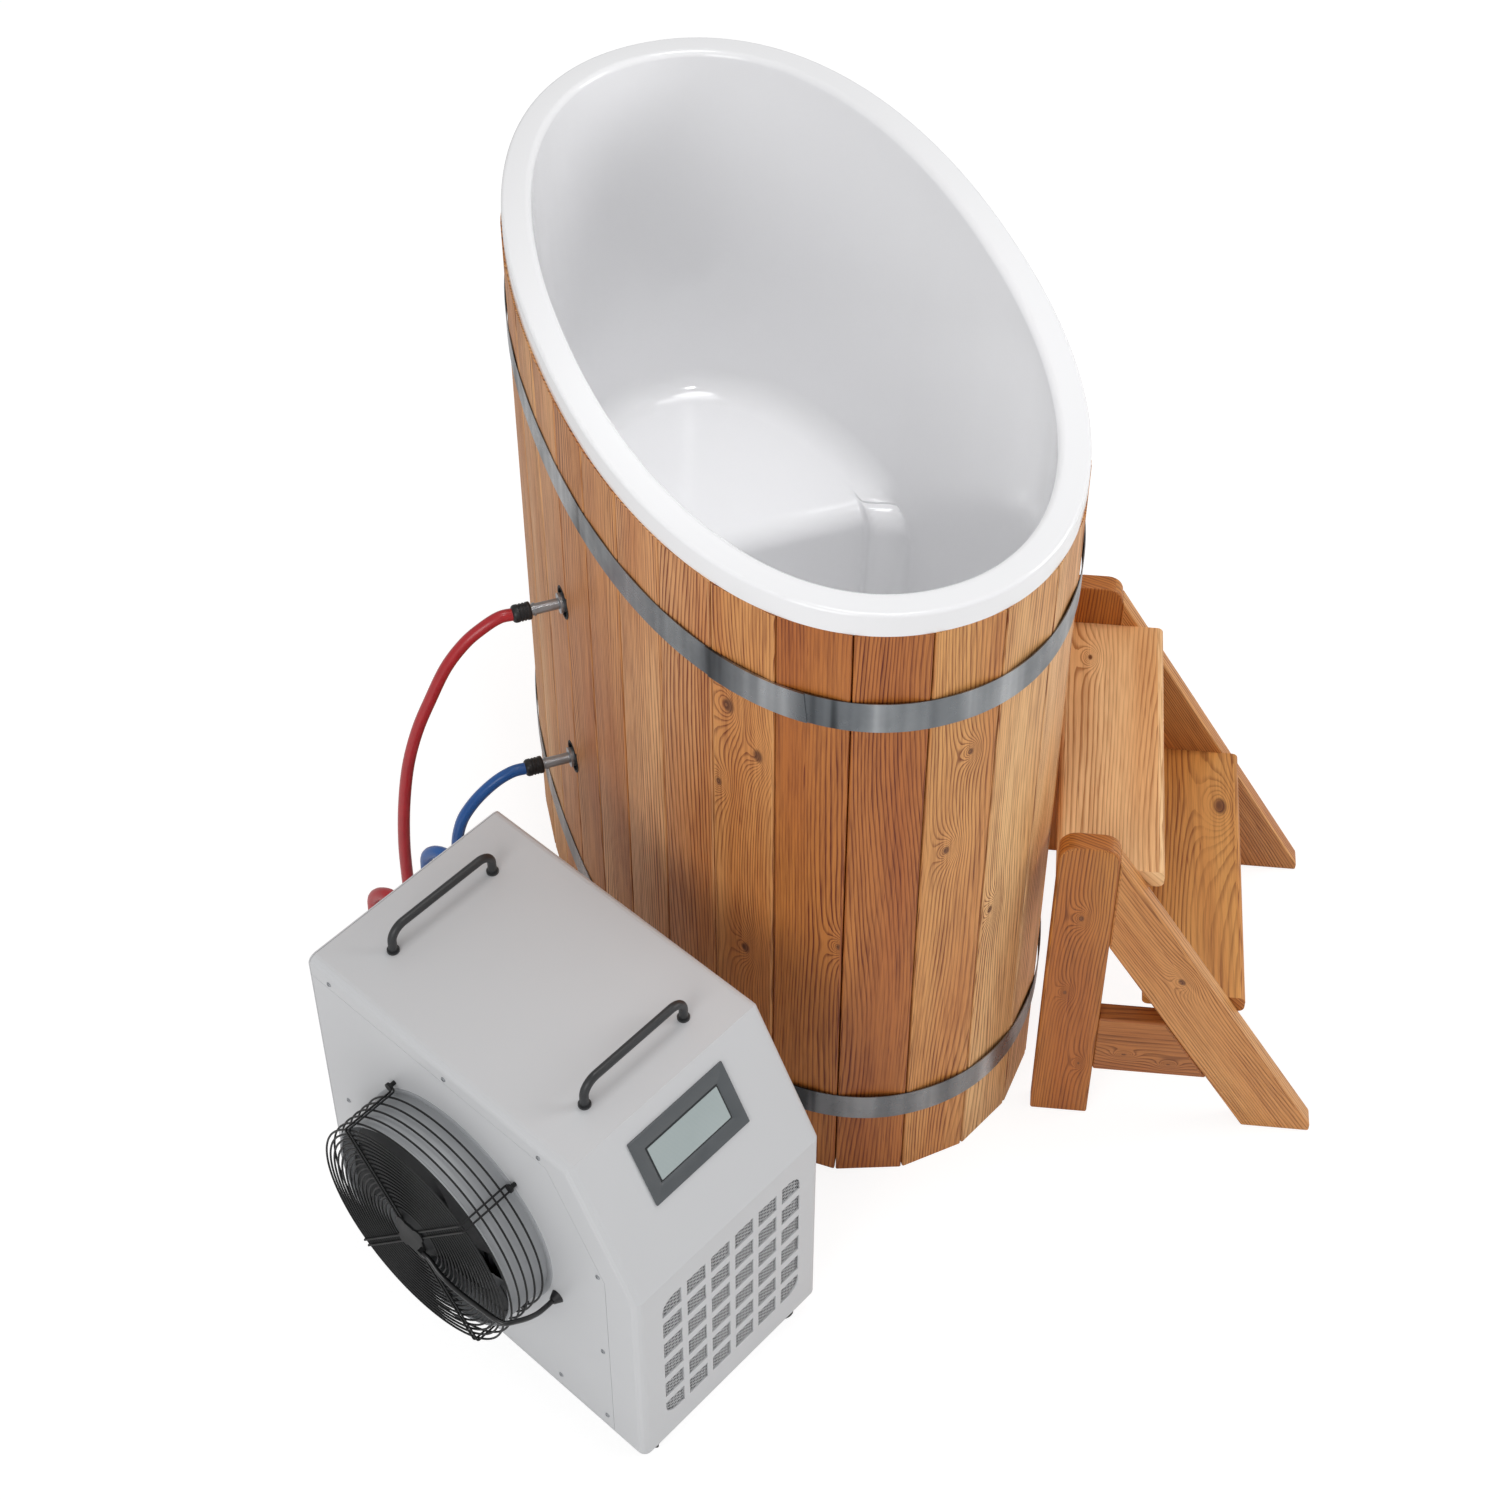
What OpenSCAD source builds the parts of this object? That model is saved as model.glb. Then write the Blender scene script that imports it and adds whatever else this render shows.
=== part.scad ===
/* [Tub] */
// Length of the timber wall, outside
tub_l = 1248; // [1150:1:1400]
// Width of the timber wall, outside
tub_w = 680; // [640:1:800]
// Height of the rim above the floor
tub_h = 1151; // [1000:1:1300]
// Radius that softens the oval
oval_r = 125; // [90:1:160]
// Power of the oval: 2 gives an ellipse, less a squarer plan
oval_power_share = 1.86; // [1.75:0.01:2]

/* [Staves] */
// Number of staves round the wall
stave_count = 32; // [24:4:40]
// Thickness of a stave
stave_t = 36; // [28:1:38]
// Bevel along a stave's outer edges
stave_bevel = 3; // [1:0.5:5]
// Gap between two staves
stave_gap = 0.4; // [0.2:0.1:1]
// Place of the first joint past the head end, in stave widths
first_joint_share = 0.24; // [0:0.01:0.99]

/* [Hoops] */
// Width of a hoop band
hoop_w = 50; // [30:1:60]
// Thickness of a hoop band
hoop_t = 1.5; // [1:0.1:3]
// Height of the lower hoop's lower edge
hoop_low_z = 135; // [60:1:250]
// Height of the upper hoop's lower edge
hoop_high_z = 952; // [800:1:990]
// Start of the upper hoop's lap, in stave widths
lap_start_share = 17.54; // [17.1:0.01:17.9]

/* [Liner] */
// Width of the flat rim
rim_w = 42; // [30:1:60]
// Height of the rim's outer band
rim_h = 35; // [20:1:60]
// Step in from the timber face to the rim's outer edge
rim_step = 3; // [0:1:8]
// Rounding of the rim's inner edge
rim_round = 10; // [4:1:16]
// Wall of the moulded liner
liner_t = 6; // [4:0.5:8]
// Run of the wall's draft for each unit of depth
draft_share = 0.04; // [0.02:0.005:0.05]
// Height of the seat
seat_z = 520; // [480:1:600]
// Place of the seat's front edge, ahead of the tub's middle
seat_y = 190; // [120:1:260]
// Fall of the seat towards its front edge
seat_fall = 4; // [2:1:8]
// Fillet from the wall to the seat
seat_fillet = 70; // [30:1:90]
// Rounding of the seat's front edge
seat_nose = 40; // [20:1:60]
// Fillet from the walls to the floor
floor_fillet = 60; // [30:1:90]
// Length over which the seat's fillet fades out
fade_l = 90; // [40:1:120]

/* [Base] */
// Height of a bearer
bearer_h = 60; // [40:1:80]
// Width of a bearer
bearer_w = 70; // [50:1:90]
// Spacing of the bearers
bearer_pitch = 215; // [200:1:230]
// Thickness of the floor board
board_t = 18; // [12:1:24]
// Clearance round the board and under the liner
seat_gap = 0.4; // [0.2:0.1:0.8]
// Width of the board that props the seat
prop_w = 260; // [180:1:320]
// Thickness of the prop
prop_t = 18; // [12:1:24]

/* [Wall fittings] */
// Place of the fittings along the tub
fitting_y = -58; // [-80:1:-30]
// Height of the upper fitting
fitting_high_z = 730; // [680:1:760]
// Height of the lower fitting
fitting_low_z = 408; // [360:1:430]
// Radius of the hole through the stave
stave_hole_r = 25; // [22:1:32]
// Radius of a fitting's body
body_r = 14; // [11:0.5:16]
// Radius of a fitting's flanges
flange_r = 22; // [19:0.5:26]
// Thickness of a fitting's flanges
flange_t = 5; // [3:0.5:8]
// Radius of the moulded boss on the liner
boss_r = 30; // [27:1:34]
// Height of the boss on each side of the liner
boss_h = 4; // [2:0.5:6]
// Thickness of a rubber seal
seal_t = 2; // [1:0.5:3]
// Radius of a hose nipple
nipple_r = 8; // [6:0.5:8.5]
// Reach of the nipple past the stave face
nipple_reach = 45; // [35:1:60]
// Radius of the water way
bore_r = 5; // [3:0.5:6]
// Radius of a hose collar
collar_r = 13; // [11:0.5:16]
// Length of a hose collar
collar_l = 27; // [20:1:35]
// Depth of a nipple in its collar
nipple_grip = 15; // [8:1:18]
// Running clearance of round parts that nest
nest_gap = 0.3; // [0.2:0.05:0.5]

/* [Drain] */
// Place of the waste ahead of the tub's middle
waste_y = -323; // [-340:1:-300]
// Radius of the waste's flange
waste_r = 35; // [28:1:40]
// Radius of the waste's tail
tail_r = 20; // [15:1:22]
// Reach of the waste's tail under the liner
tail_l = 48; // [35:1:55]
// Thickness of the grid and of the flange
waste_t = 3; // [2:0.5:5]
// Wall of the tail and of the cap
waste_wall = 3; // [2:0.5:4]

/* [Hoses] */
// Radius of a water hose
hose_r = 9; // [7:0.5:10]
// Radius of the fan's cable
cable_r = 3.5; // [2.5:0.5:4]

/* [Chiller case] */
// Width of the case
case_w = 340; // [320:1:380]
// Depth of the case
case_d = 583; // [560:1:640]
// Height of the front below the slope
front_h = 370; // [340:1:390]
// Height of the case above its base
case_h = 557; // [540:1:600]
// Set-back of the slope's top edge
slope_run = 109; // [90:1:130]
// Height of the base above the floor
case_z = 51; // [48:1:60]
// Thickness of the sheet
sheet_t = 2; // [1:0.5:2.5]
// Bend radius of the top and front at the sides
bend_r = 12; // [8:1:16]
// Side seam behind the front
seam_y = 56; // [50:1:80]
// Side seam in from the slope
seam_slope = 51; // [40:1:60]
// Side seam below the top
seam_z = 33; // [25:1:45]
// Width of a seam
seam_gap = 0.6; // [0.3:0.1:0.9]
// Thickness of the base pan
pan_t = 4; // [3:0.5:6]
// Height of the feet and clamps inside the case
foot_h = 25; // [15:1:35]
// Thickness of the condenser coil
coil_t = 44; // [35:1:48]
// Drop of the hose ports below the top
port_drop = 117; // [100:1:140]
// Turn of the chiller about the upright
chiller_turn = 28.7; // [20:0.1:35]
// Clear space from the tub's side to the chiller's near corner
chiller_side_gap = 159.5; // [140:0.5:200]
// Place of that corner short of the tub's foot end
chiller_end_gap = 336.8; // [300:0.1:350]

/* [Chiller grille] */
// Left edge of the windows
grille_x = 43; // [35:1:50]
// Lower edge of the windows
grille_z = 51; // [45:1:60]
// Windows in a row
window_cols = 6; // [4:1:7]
// Windows in a column
window_rows = 6; // [4:1:7]
// Width of a window
window_w = 34.5; // [28:0.5:36]
// Height of a window
window_h = 34; // [24:0.5:36]
// Bar between windows side by side
bar_w = 10.1; // [6:0.1:12]
// Bar between windows one over another
bar_h = 14.5; // [10:0.5:16]
// Radius of the field's corners
field_r = 22; // [10:1:26]
// Thickness of the mesh
mesh_t = 1.2; // [0.8:0.1:2]
// Length of a mesh opening
mesh_l = 19; // [16:0.5:24]
// Height of a mesh opening
mesh_h = 9.4; // [8:0.2:14]
// Width of a mesh strand
strand = 2.4; // [1.5:0.1:3]

/* [Chiller panel and handles] */
// Width of the display's bezel
bezel_w = 168; // [150:1:190]
// Height of the bezel up the slope
bezel_h = 96; // [80:1:110]
// Lower edge of the bezel up the slope
bezel_up = 93; // [80:1:100]
// Thickness of the bezel
bezel_t = 3; // [2:0.5:5]
// Width of the screen
screen_w = 129; // [110:1:140]
// Height of the screen
screen_h = 54; // [45:1:60]
// Radius of a handle's bar
handle_r = 6; // [5:0.5:8]
// Height of a handle's bar above the case
handle_h = 40; // [32:1:50]
// Spacing of a handle's feet
handle_w = 176; // [150:1:200]
// Bend radius of a handle
handle_bend = 22; // [15:1:26]
// Place of the front handle behind the front
handle_front_y = 162; // [150:1:180]
// Place of the rear handle ahead of the back
handle_rear_y = 73; // [60:1:90]

/* [Chiller fan] */
// Place of the fan's middle behind the front
fan_y = 322; // [310:1:340]
// Height of the fan's middle above the base
fan_z = 289; // [280:1:300]
// Outer radius of the shroud
shroud_r = 160; // [150:1:165]
// Reach of the shroud from the panel
shroud_l = 68; // [60:1:75]
// Radius of the guard's rings
guard_r = 167; // [165.5:0.5:172]
// Reach of the guard's front from the panel
guard_l = 85; // [80:1:95]
// Reach of the guard's first ring from the panel
guard_first = 17; // [12:1:24]
// Radius of the guard's wire
wire_r = 1.4; // [1.2:0.1:1.6]
// Gap at a weld between crossing wires
weld_gap = 0.1; // [0.05:0.05:0.2]
// Rings along the guard's side
side_rings = 5; // [3:1:6]
// Rings across the guard's front
front_rings = 17; // [10:1:20]
// Radius of the innermost front ring
inner_ring_r = 46; // [42:1:52]
// Turn of the guard's stays from level
stay_turn = 51; // [45:1:55]
// Spacing of a stay's two wires
stay_pair = 9; // [8:0.5:11]
// Radius of the black hub plate
hub_r = 34; // [30:1:38]
// Radius of the turning hub
rotor_r = 44; // [38:1:50]
// Clearance between blade tip and shroud
tip_gap = 6; // [4:0.5:10]
// Number of blades
blade_count = 5; // [3:1:7]
// Thickness of a blade
blade_t = 2; // [1.5:0.5:3]
// Depth of a blade along the axis at its root
blade_depth = 38; // [30:1:42]
// Sweep of a blade from root to tip
blade_sweep = 32; // [20:1:40]
// Angle that a blade covers at its root
root_angle = 46; // [36:1:52]
// Angle that a blade covers at its tip
tip_angle = 54; // [44:1:58]
// Height of the turning hub
rotor_h = 48; // [42:1:50]
// Place of the cable's gland ahead of the fan's middle
gland_ahead = 174; // [170:1:185]
// Place of the gland below the fan's middle
gland_drop = 56; // [45:1:70]
// Radius of the fan's axle
axle_r = 5; // [4:0.5:7]
// Running clearance of the axle and the caster pins
run_gap = 0.06; // [0.02:0.01:0.1]

/* [Casters] */
// Radius of a caster wheel
wheel_r = 20; // [18:0.5:21]
// Width of one wheel of the pair
wheel_w = 9; // [7:0.5:11]
// Width of the fork between the wheels
fork_w = 9; // [7:0.5:12]
// Trail of the wheel behind its swivel
trail = 14; // [10:0.5:18]
// Side of a caster's top plate
plate_w = 46; // [40:1:52]
// Thickness of the plate
plate_t = 3; // [2:0.5:4]
// Place of the front casters behind the front
caster_y = 44; // [36:1:60]
// Place of the casters in from the sides
caster_x = 50; // [40:1:60]
// Radius of the swivel pin
swivel_r = 4; // [3:0.5:5]

/* [Stool] */
// Width over the stool's two frames
stool_w = 523.5; // [450:0.5:600]
// Height of the stool's frames
stool_h = 600; // [560:1:660]
// Thickness of a frame
frame_t = 30; // [24:1:36]
// Width of an upright post
post_w = 83; // [70:1:95]
// Rounding of a post's top
post_r = 24; // [12:1:35]
// Reach of a frame along the floor
foot_run = 409; // [380:1:450]
// Width of a strut along the floor
strut_foot = 99; // [80:1:115]
// Run of a strut for each unit of height
strut_lean_share = 0.579; // [0.54:0.001:0.6]
// Upright cut of a strut's toe
toe_cut = 13; // [5:1:20]
// Height of the rail above the floor
rail_z = 109; // [80:1:140]
// Height of the rail's board
rail_h = 120; // [90:1:130]
// Thickness of a tread
tread_t = 30; // [24:1:36]
// Depth of the upper tread
upper_tread_d = 147; // [120:1:160]
// Depth of the lower tread
lower_tread_d = 145; // [120:1:160]
// Height of the upper tread's top
upper_tread_z = 528; // [490:1:540]
// Height of the lower tread's top
lower_tread_z = 265; // [262:1:290]
// Setting of the lower tread out from the frame's back
lower_tread_s = 142; // [130:1:150]
// Rounding of a tread's long edges
tread_round = 9; // [4:1:12]
// Side of a cleat
cleat = 25; // [18:1:30]
// Turn of the stool about the upright
stool_turn = -24.6; // [-30:0.1:-20]
// From the wall to the posts and the upper tread
stool_gap = 2.9; // [1:0.1:6]
// From the near frame to where the upper tread meets the wall
stool_back = 180.7; // [150:0.1:220]

/* [Hidden] */
$fn = 48;
cut = tub_h/50;

// The oval in plan, given by the distance of its tangent from the middle
oval_a = tub_l/2 - oval_r;
oval_b = tub_w/2 - oval_r;
power = oval_power_share;
function reach(f) = pow(oval_a*abs(cos(f)), power) + pow(oval_b*abs(sin(f)), power);
function oval_h(f, inset) = pow(reach(f), 1/power) + oval_r - inset;
function oval_turn(f) = pow(reach(f), 1/power - 1)
    * (pow(oval_b*abs(sin(f)), power - 1)*oval_b*cos(f)*sign(sin(f))
    - pow(oval_a*abs(cos(f)), power - 1)*oval_a*sin(f)*sign(cos(f)));
function oval_point(f, inset) = let (h = oval_h(f, inset), t = oval_turn(f))
    [h*sin(f) + t*cos(f), h*cos(f) - t*sin(f)];
arc_step = 0.5;
arc_table = [
    for (f = 0, s = 0; f <= 360;
        s = s + norm(oval_point(f + arc_step, 0) - oval_point(f, 0)), f = f + arc_step)
    [s, f]
];
perimeter = arc_table[len(arc_table) - 1][0];
function oval_angle(s) = lookup(s - perimeter*floor(s/perimeter), arc_table);

// Staves: flat boards whose corners lie on the oval
stave_pitch = perimeter/stave_count;
stave_top = tub_h - rim_h;
quarter = stave_count/4;
function corner(i, inset) = oval_point(oval_angle((i + first_joint_share)*stave_pitch), inset);
function unit(v) = v/norm(v);
function stave_outline(i) = let (
    along = unit(corner(i + 1, 0) - corner(i, 0)),
    half = along*stave_gap/2,
    bevel = along*(stave_bevel + stave_gap/2)
) [
    corner(i, 0) + bevel,
    corner(i + 1, 0) - bevel,
    corner(i + 1, stave_bevel) - half,
    corner(i + 1, stave_t) - half,
    corner(i, stave_t) + half,
    corner(i, stave_bevel) + half
];
function ring_point(u, inset) = let (i = floor(u))
    corner(i, inset) + (corner(i + 1, inset) - corner(i, inset))*(u - i);

module staves(first) {
    color("peru")
    for (i = [first : first + quarter - 1])
        linear_extrude(stave_top) polygon(stave_outline(i));
}
module staves_head() { staves(-quarter/2); }
module staves_right() { staves(quarter/2); }
module staves_foot() { staves(3*quarter/2); }
module staves_left() {
    difference() {
        staves(5*quarter/2);
        at_fitting(fitting_high_z) stave_hole();
        at_fitting(fitting_low_z) stave_hole();
    }
}
module stave_hole() {
    translate([0, 0, -stave_t - cut]) cylinder(r = stave_hole_r, h = stave_t + 2*cut);
}

module band(z, inner, outer) {
    translate([0, 0, z]) linear_extrude(hoop_w) difference() {
        polygon([for (i = [0 : stave_count - 1]) corner(i, -outer)]);
        polygon([for (i = [0 : stave_count - 1]) corner(i, -inner)]);
    }
}
module hoop_lower() { color("dimgray") band(hoop_low_z, 0, hoop_t); }
module hoop_upper() {
    lap = [lap_start_share, ceil(lap_start_share), ceil(lap_start_share) + 1];
    color("dimgray") {
        band(hoop_high_z, 0, hoop_t);
        translate([0, 0, hoop_high_z]) linear_extrude(hoop_w) polygon(concat(
            [for (u = lap) ring_point(u, -hoop_t)],
            [for (k = [len(lap) - 1 : -1 : 0]) ring_point(lap[k], -2*hoop_t)]));
    }
}

// Liner: one moulded shell, swept through level rings of [height, inset, ease, front]
liner_floor_z = bearer_h + board_t + seat_gap + liner_t;
liner_sides = 56;
arc_steps = 3;
open_front = tub_l;
function wall_inset(z) = rim_step + rim_w + (tub_h - z)*draft_share;
function riser_y(z) = seat_y - (seat_z - z)*draft_share;
function fade(y) = let (t = min(1, max(0, (y - seat_y)/fade_l + 0.5))) t*t*(3 - 2*t);
function liner_ring(st) = [
    for (k = [0 : liner_sides - 1])
    let (f = oval_angle(-k*perimeter/liner_sides), bare = oval_point(f, 0))
    let (p = oval_point(f, st[1] + fade(bare.y)*st[2]))
    [p.x, min(p.y, st[3]), st[0]]
];
// Stations of one face of the shell from the seat's fillet down; out is 0 or the wall
function arc_turn(k) = 90*k/arc_steps;
function shell(out) = concat(
    [for (k = [0 : arc_steps]) let (
        t = arc_turn(k), r = seat_fillet + out, z = seat_z + seat_fillet - r*sin(t))
        [z, wall_inset(z) - out, r*(1 - cos(t)), open_front]],
    [for (k = [0 : arc_steps]) let (
        t = arc_turn(k), r = seat_nose - out, z = seat_z - seat_fall - seat_nose + r*cos(t))
        [z, wall_inset(z) - out, seat_fillet + out, seat_y + seat_nose - r*sin(t)]],
    [for (k = [0 : arc_steps]) let (
        t = arc_turn(k), r = floor_fillet + out, z = liner_floor_z + floor_fillet - r*sin(t))
        [z, wall_inset(z) - out + r*(1 - cos(t)), seat_fillet + out,
            riser_y(z) + out - r*(1 - cos(t))]]);
function turned(list) = [for (k = [len(list) - 1 : -1 : 0]) list[k]];
rim_inner = rim_step + rim_w;
rim_edge = rim_round/2;
liner_stations = concat(
    turned(shell(liner_t)),
    [[stave_top, wall_inset(stave_top) - liner_t, 0, open_front],
        [stave_top, rim_step, 0, open_front]],
    [for (k = [0 : arc_steps]) let (t = 90*k/arc_steps)
        [tub_h - rim_edge*(1 - sin(t)), rim_step + rim_edge*(1 - cos(t)), 0, open_front]],
    [for (k = [0 : arc_steps]) let (t = 90*k/arc_steps)
        [tub_h - rim_round*(1 - cos(t)), rim_inner - rim_round*(1 - sin(t)), 0, open_front]],
    shell(0));

// Skins close at both ends with triangles round the end's middle
function middle(list) = [for (k = [0 : 2]) [for (p = list) p[k]]*[for (p = list) 1/len(list)]];
module skin(rings) {
    n = len(rings[0]);
    last = len(rings) - 1;
    low = (last + 1)*n;
    polyhedron(
        points = concat([for (r = rings) for (p = r) p], [middle(rings[0]), middle(rings[last])]),
        faces = concat(
            [for (k = [0 : n - 1]) [low, k, (k + 1) % n]],
            [for (j = [0 : last - 1]) for (k = [0 : n - 1])
                [j*n + k, (j + 1)*n + k, j*n + (k + 1) % n]],
            [for (j = [0 : last - 1]) for (k = [0 : n - 1])
                [j*n + (k + 1) % n, (j + 1)*n + k, (j + 1)*n + (k + 1) % n]],
            [for (k = [0 : n - 1]) [low + 1, last*n + (k + 1) % n, last*n + k]]));
}
module liner() {
    color("white") difference() {
        union() {
            skin([for (st = liner_stations) liner_ring(st)]);
            for (z = [fitting_high_z, fitting_low_z]) at_fitting(z)
                translate([0, 0, pad_in(z)]) cylinder(r = boss_r, h = pad_out(z) - pad_in(z));
        }
        for (z = [fitting_high_z, fitting_low_z]) at_fitting(z)
            translate([0, 0, pad_in(z) - cut])
                cylinder(r = body_r + nest_gap, h = pad_out(z) - pad_in(z) + 2*cut);
        translate([0, waste_y, liner_floor_z - liner_t - cut])
            cylinder(r = tail_r + nest_gap, h = liner_t + 2*cut);
    }
}

// Base under the liner
module base_bearers() {
    color("burlywood")
    for (k = [-2 : 2]) let (y = k*bearer_pitch, far = abs(y) + bearer_w/2)
        translate([-bearer_x(far), y - bearer_w/2, 0]) cube([2*bearer_x(far), bearer_w, bearer_h]);
}
// Half-length of a bearer whose far edge lies at y
half_width = [for (f = [90 : -2 : 0]) let (p = oval_point(f, 0)) [p.y, p.x]];
function bearer_x(y) = lookup(y, half_width) - stave_t - bearer_h/4;
module floor_board() {
    color("tan") translate([0, 0, bearer_h]) linear_extrude(board_t) difference() {
        polygon([for (i = [0 : stave_count - 1]) corner(i, stave_t + seat_gap)]);
        translate([0, waste_y]) circle(r = waste_r);
    }
}
prop_top = seat_z - seat_fall - liner_t - seat_gap;
prop_y = seat_y + seat_nose + prop_t;
module seat_prop() {
    color("tan") translate([-prop_w/2, prop_y, bearer_h + board_t])
        cube([prop_w, prop_t, prop_top - bearer_h - board_t]);
}

// Fittings through the left wall: their own axis points out, with zero at the timber face
module at_fitting(z) {
    translate([-tub_w/2, fitting_y, z]) rotate([0, -90, 0]) children();
}
function pad_in(z) = -wall_inset(z) - boss_h;
function pad_out(z) = -wall_inset(z) + liner_t + boss_h;
module tube(z0, z1, outer, inner) {
    translate([0, 0, z0]) difference() {
        cylinder(r = outer, h = z1 - z0);
        translate([0, 0, -cut]) cylinder(r = inner, h = z1 - z0 + 2*cut);
    }
}
module bulkhead(z) {
    seat = pad_in(z) - seal_t;
    color("silver") at_fitting(z) difference() {
        union() {
            translate([0, 0, seat - flange_t]) cylinder(r = flange_r, h = flange_t);
            translate([0, 0, seat - flange_t]) cylinder(r = body_r, h = flange_t - seat + flange_t);
            translate([0, 0, flange_t - waste_t]) cylinder(r = body_r + nipple_r/8, h = waste_t);
            cylinder(r = nipple_r, h = nipple_reach + nipple_grip - nest_gap);
            translate([0, 0, nipple_reach - 2*waste_t]) cylinder(r = nipple_r*1.2, h = waste_t);
        }
        translate([0, 0, seat - flange_t - cut])
            cylinder(r = bore_r, h = nipple_reach - seat + 2*cut + nipple_grip + flange_t);
    }
}
module upper_bulkhead() { bulkhead(fitting_high_z); }
module lower_bulkhead() { bulkhead(fitting_low_z); }
module bulkhead_nuts() {
    color("silver")
    for (z = [fitting_high_z, fitting_low_z]) at_fitting(z) translate([0, 0, pad_out(z)])
        difference() {
            cylinder(r = flange_r, h = 2*flange_t, $fn = 6);
            translate([0, 0, -cut]) cylinder(r = body_r + nest_gap, h = 2*flange_t + 2*cut);
        }
}
module bulkhead_seals() {
    color("black")
    for (z = [fitting_high_z, fitting_low_z]) at_fitting(z)
        tube(pad_in(z) - seal_t, pad_in(z), flange_r, body_r + nest_gap);
}
module return_nozzle() {
    top = pad_in(fitting_high_z) - seal_t - flange_t;
    color("white") at_fitting(fitting_high_z) translate([0, 0, top]) rotate([180, 0, 0])
        difference() {
            cylinder(r1 = flange_r, r2 = body_r, h = body_r);
            translate([0, 0, -cut]) cylinder(r = bore_r, h = body_r + 2*cut);
        }
}
module inlet_strainer() {
    top = pad_in(fitting_low_z) - seal_t - flange_t;
    color("white") at_fitting(fitting_low_z) translate([0, 0, top]) rotate([180, 0, 0])
        difference() {
            cylinder(r = flange_r, h = body_r);
            translate([0, 0, -cut]) cylinder(r = flange_r - seal_t, h = body_r - seal_t + cut);
            for (k = [-2 : 2]) translate([k*flange_r/3 - seal_t/2, -flange_r/2, 0])
                cube([seal_t, flange_r, body_r + cut]);
        }
}

// Drain in the footwell floor
waste_top = liner_floor_z + waste_t;
waste_end = liner_floor_z - liner_t - tail_l;
module drain_waste() {
    color("silver") translate([0, waste_y, 0]) {
        difference() {
            union() {
                translate([0, 0, liner_floor_z]) cylinder(r = waste_r, h = waste_t);
                translate([0, 0, waste_end]) cylinder(r = tail_r, h = waste_top - waste_end);
            }
            translate([0, 0, waste_end - cut])
                cylinder(r = tail_r - waste_wall, h = waste_top - waste_end - waste_t + cut);
            for (k = [0 : 5]) rotate([0, 0, 60*k]) translate([tail_r/2, 0, waste_end])
                cylinder(r = waste_wall, h = waste_top);
        }
    }
}
module drain_cap() {
    color("dimgray") translate([0, waste_y, waste_end - waste_wall]) difference() {
        cylinder(r = tail_r + waste_wall + nest_gap, h = tail_r);
        translate([0, 0, waste_wall]) cylinder(r = tail_r + nest_gap, h = tail_r);
    }
}

// Hoses: hand-chosen points, one ring of the tube at each
red_route = [
    [-454, -59, 719], [-482, -59, 697], [-512, -60, 659], [-539, -61, 604], [-563, -62, 548],
    [-582, -62, 480], [-595, -63, 400], [-602, -63, 320], [-604, -63, 250], [-604, -63, 180],
    [-604, -63, 111], [-607, -70, 72], [-615, -90, 39], [-628, -121, 18], [-643, -157, 10],
    [-657, -192, 18], [-670, -223, 39], [-678, -243, 72], [-681, -250, 111],
    [-681, -250, 180], [-681, -250, 250], [-681, -250, 330], [-681, -250, 419],
    [-678, -257, 455], [-665, -280, 481]
];
blue_route = [
    [-452, -59, 400], [-474, -59, 383], [-495, -59, 360], [-513, -60, 331], [-523, -60, 290],
    [-525, -60, 240], [-525, -60, 190], [-525, -60, 140], [-525, -60, 89], [-528, -66, 59],
    [-535, -81, 33], [-546, -104, 16], [-560, -131, 10], [-573, -158, 16], [-584, -181, 33],
    [-591, -197, 59], [-594, -202, 89], [-594, -202, 160], [-594, -202, 240],
    [-594, -202, 330], [-594, -202, 419], [-591, -209, 455], [-578, -232, 481]
];
// Points [along the case, height, reach], from the fan's middle
cable_route = [
    [-41, -6, 94], [-55, -14, 95], [-74, -20, 95], [-101, -19, 95], [-130, -14, 95],
    [-155, -11, 94], [-171, -12, 90], [-178, -15, 79], [-181, -28, 59], [-178, -45, 38]
];
function direction(list, i) = unit(list[min(i + 1, len(list) - 1)] - list[max(i - 1, 0)]);
function sides(list, i, side) = i == 0 ? [side]
    : let (past = sides(list, i - 1, side), d = direction(list, i), s = past[i - 1])
    concat(past, [unit(s - d*(s*d))]);
module swept(list, r, start_side, n) {
    across = sides(list, len(list) - 1, start_side);
    skin([
        for (i = [0 : len(list) - 1])
        let (d = i == 0 ? unit(list[1] - list[0])
            : i == len(list) - 1 ? unit(list[i] - list[i - 1]) : direction(list, i),
            a = unit(across[i] - d*(across[i]*d)), b = cross(d, a))
        [for (k = [0 : n - 1]) list[i] + a*r*cos(360*k/n) + b*r*sin(360*k/n)]
    ]);
}
collar_end = nipple_reach + collar_l;
function tub_end(z, past) = [-tub_w/2 - collar_end - past, fitting_y, z];
function chiller_point(p) = [
    chiller_x + (p.x - case_w)*cos(chiller_turn) - (p.y - case_d)*sin(chiller_turn),
    chiller_y + (p.x - case_w)*sin(chiller_turn) + (p.y - case_d)*cos(chiller_turn),
    p.z + case_z
];
function port_end(x, past) = chiller_point([x, case_d + port_reach + collar_l + past, port_z]);
module hose(z, list, x) {
    start = [tub_end(z, 0), tub_end(z, 2*hose_r)];
    end = [port_end(x, 2*hose_r), port_end(x, 0)];
    swept(concat(start, list, end), hose_r, [0, 1, 0], 10);
}
module red_hose() { color("firebrick") hose(fitting_high_z, red_route, red_port_x); }
module blue_hose() { color("royalblue") hose(fitting_low_z, blue_route, blue_port_x); }
module collar() {
    difference() {
        cylinder(r = collar_r, h = collar_l);
        translate([0, 0, -cut]) cylinder(r = nipple_r + nest_gap, h = nipple_grip + cut);
        translate([0, 0, -cut]) cylinder(r = bore_r, h = collar_l + 2*cut);
    }
}
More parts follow.
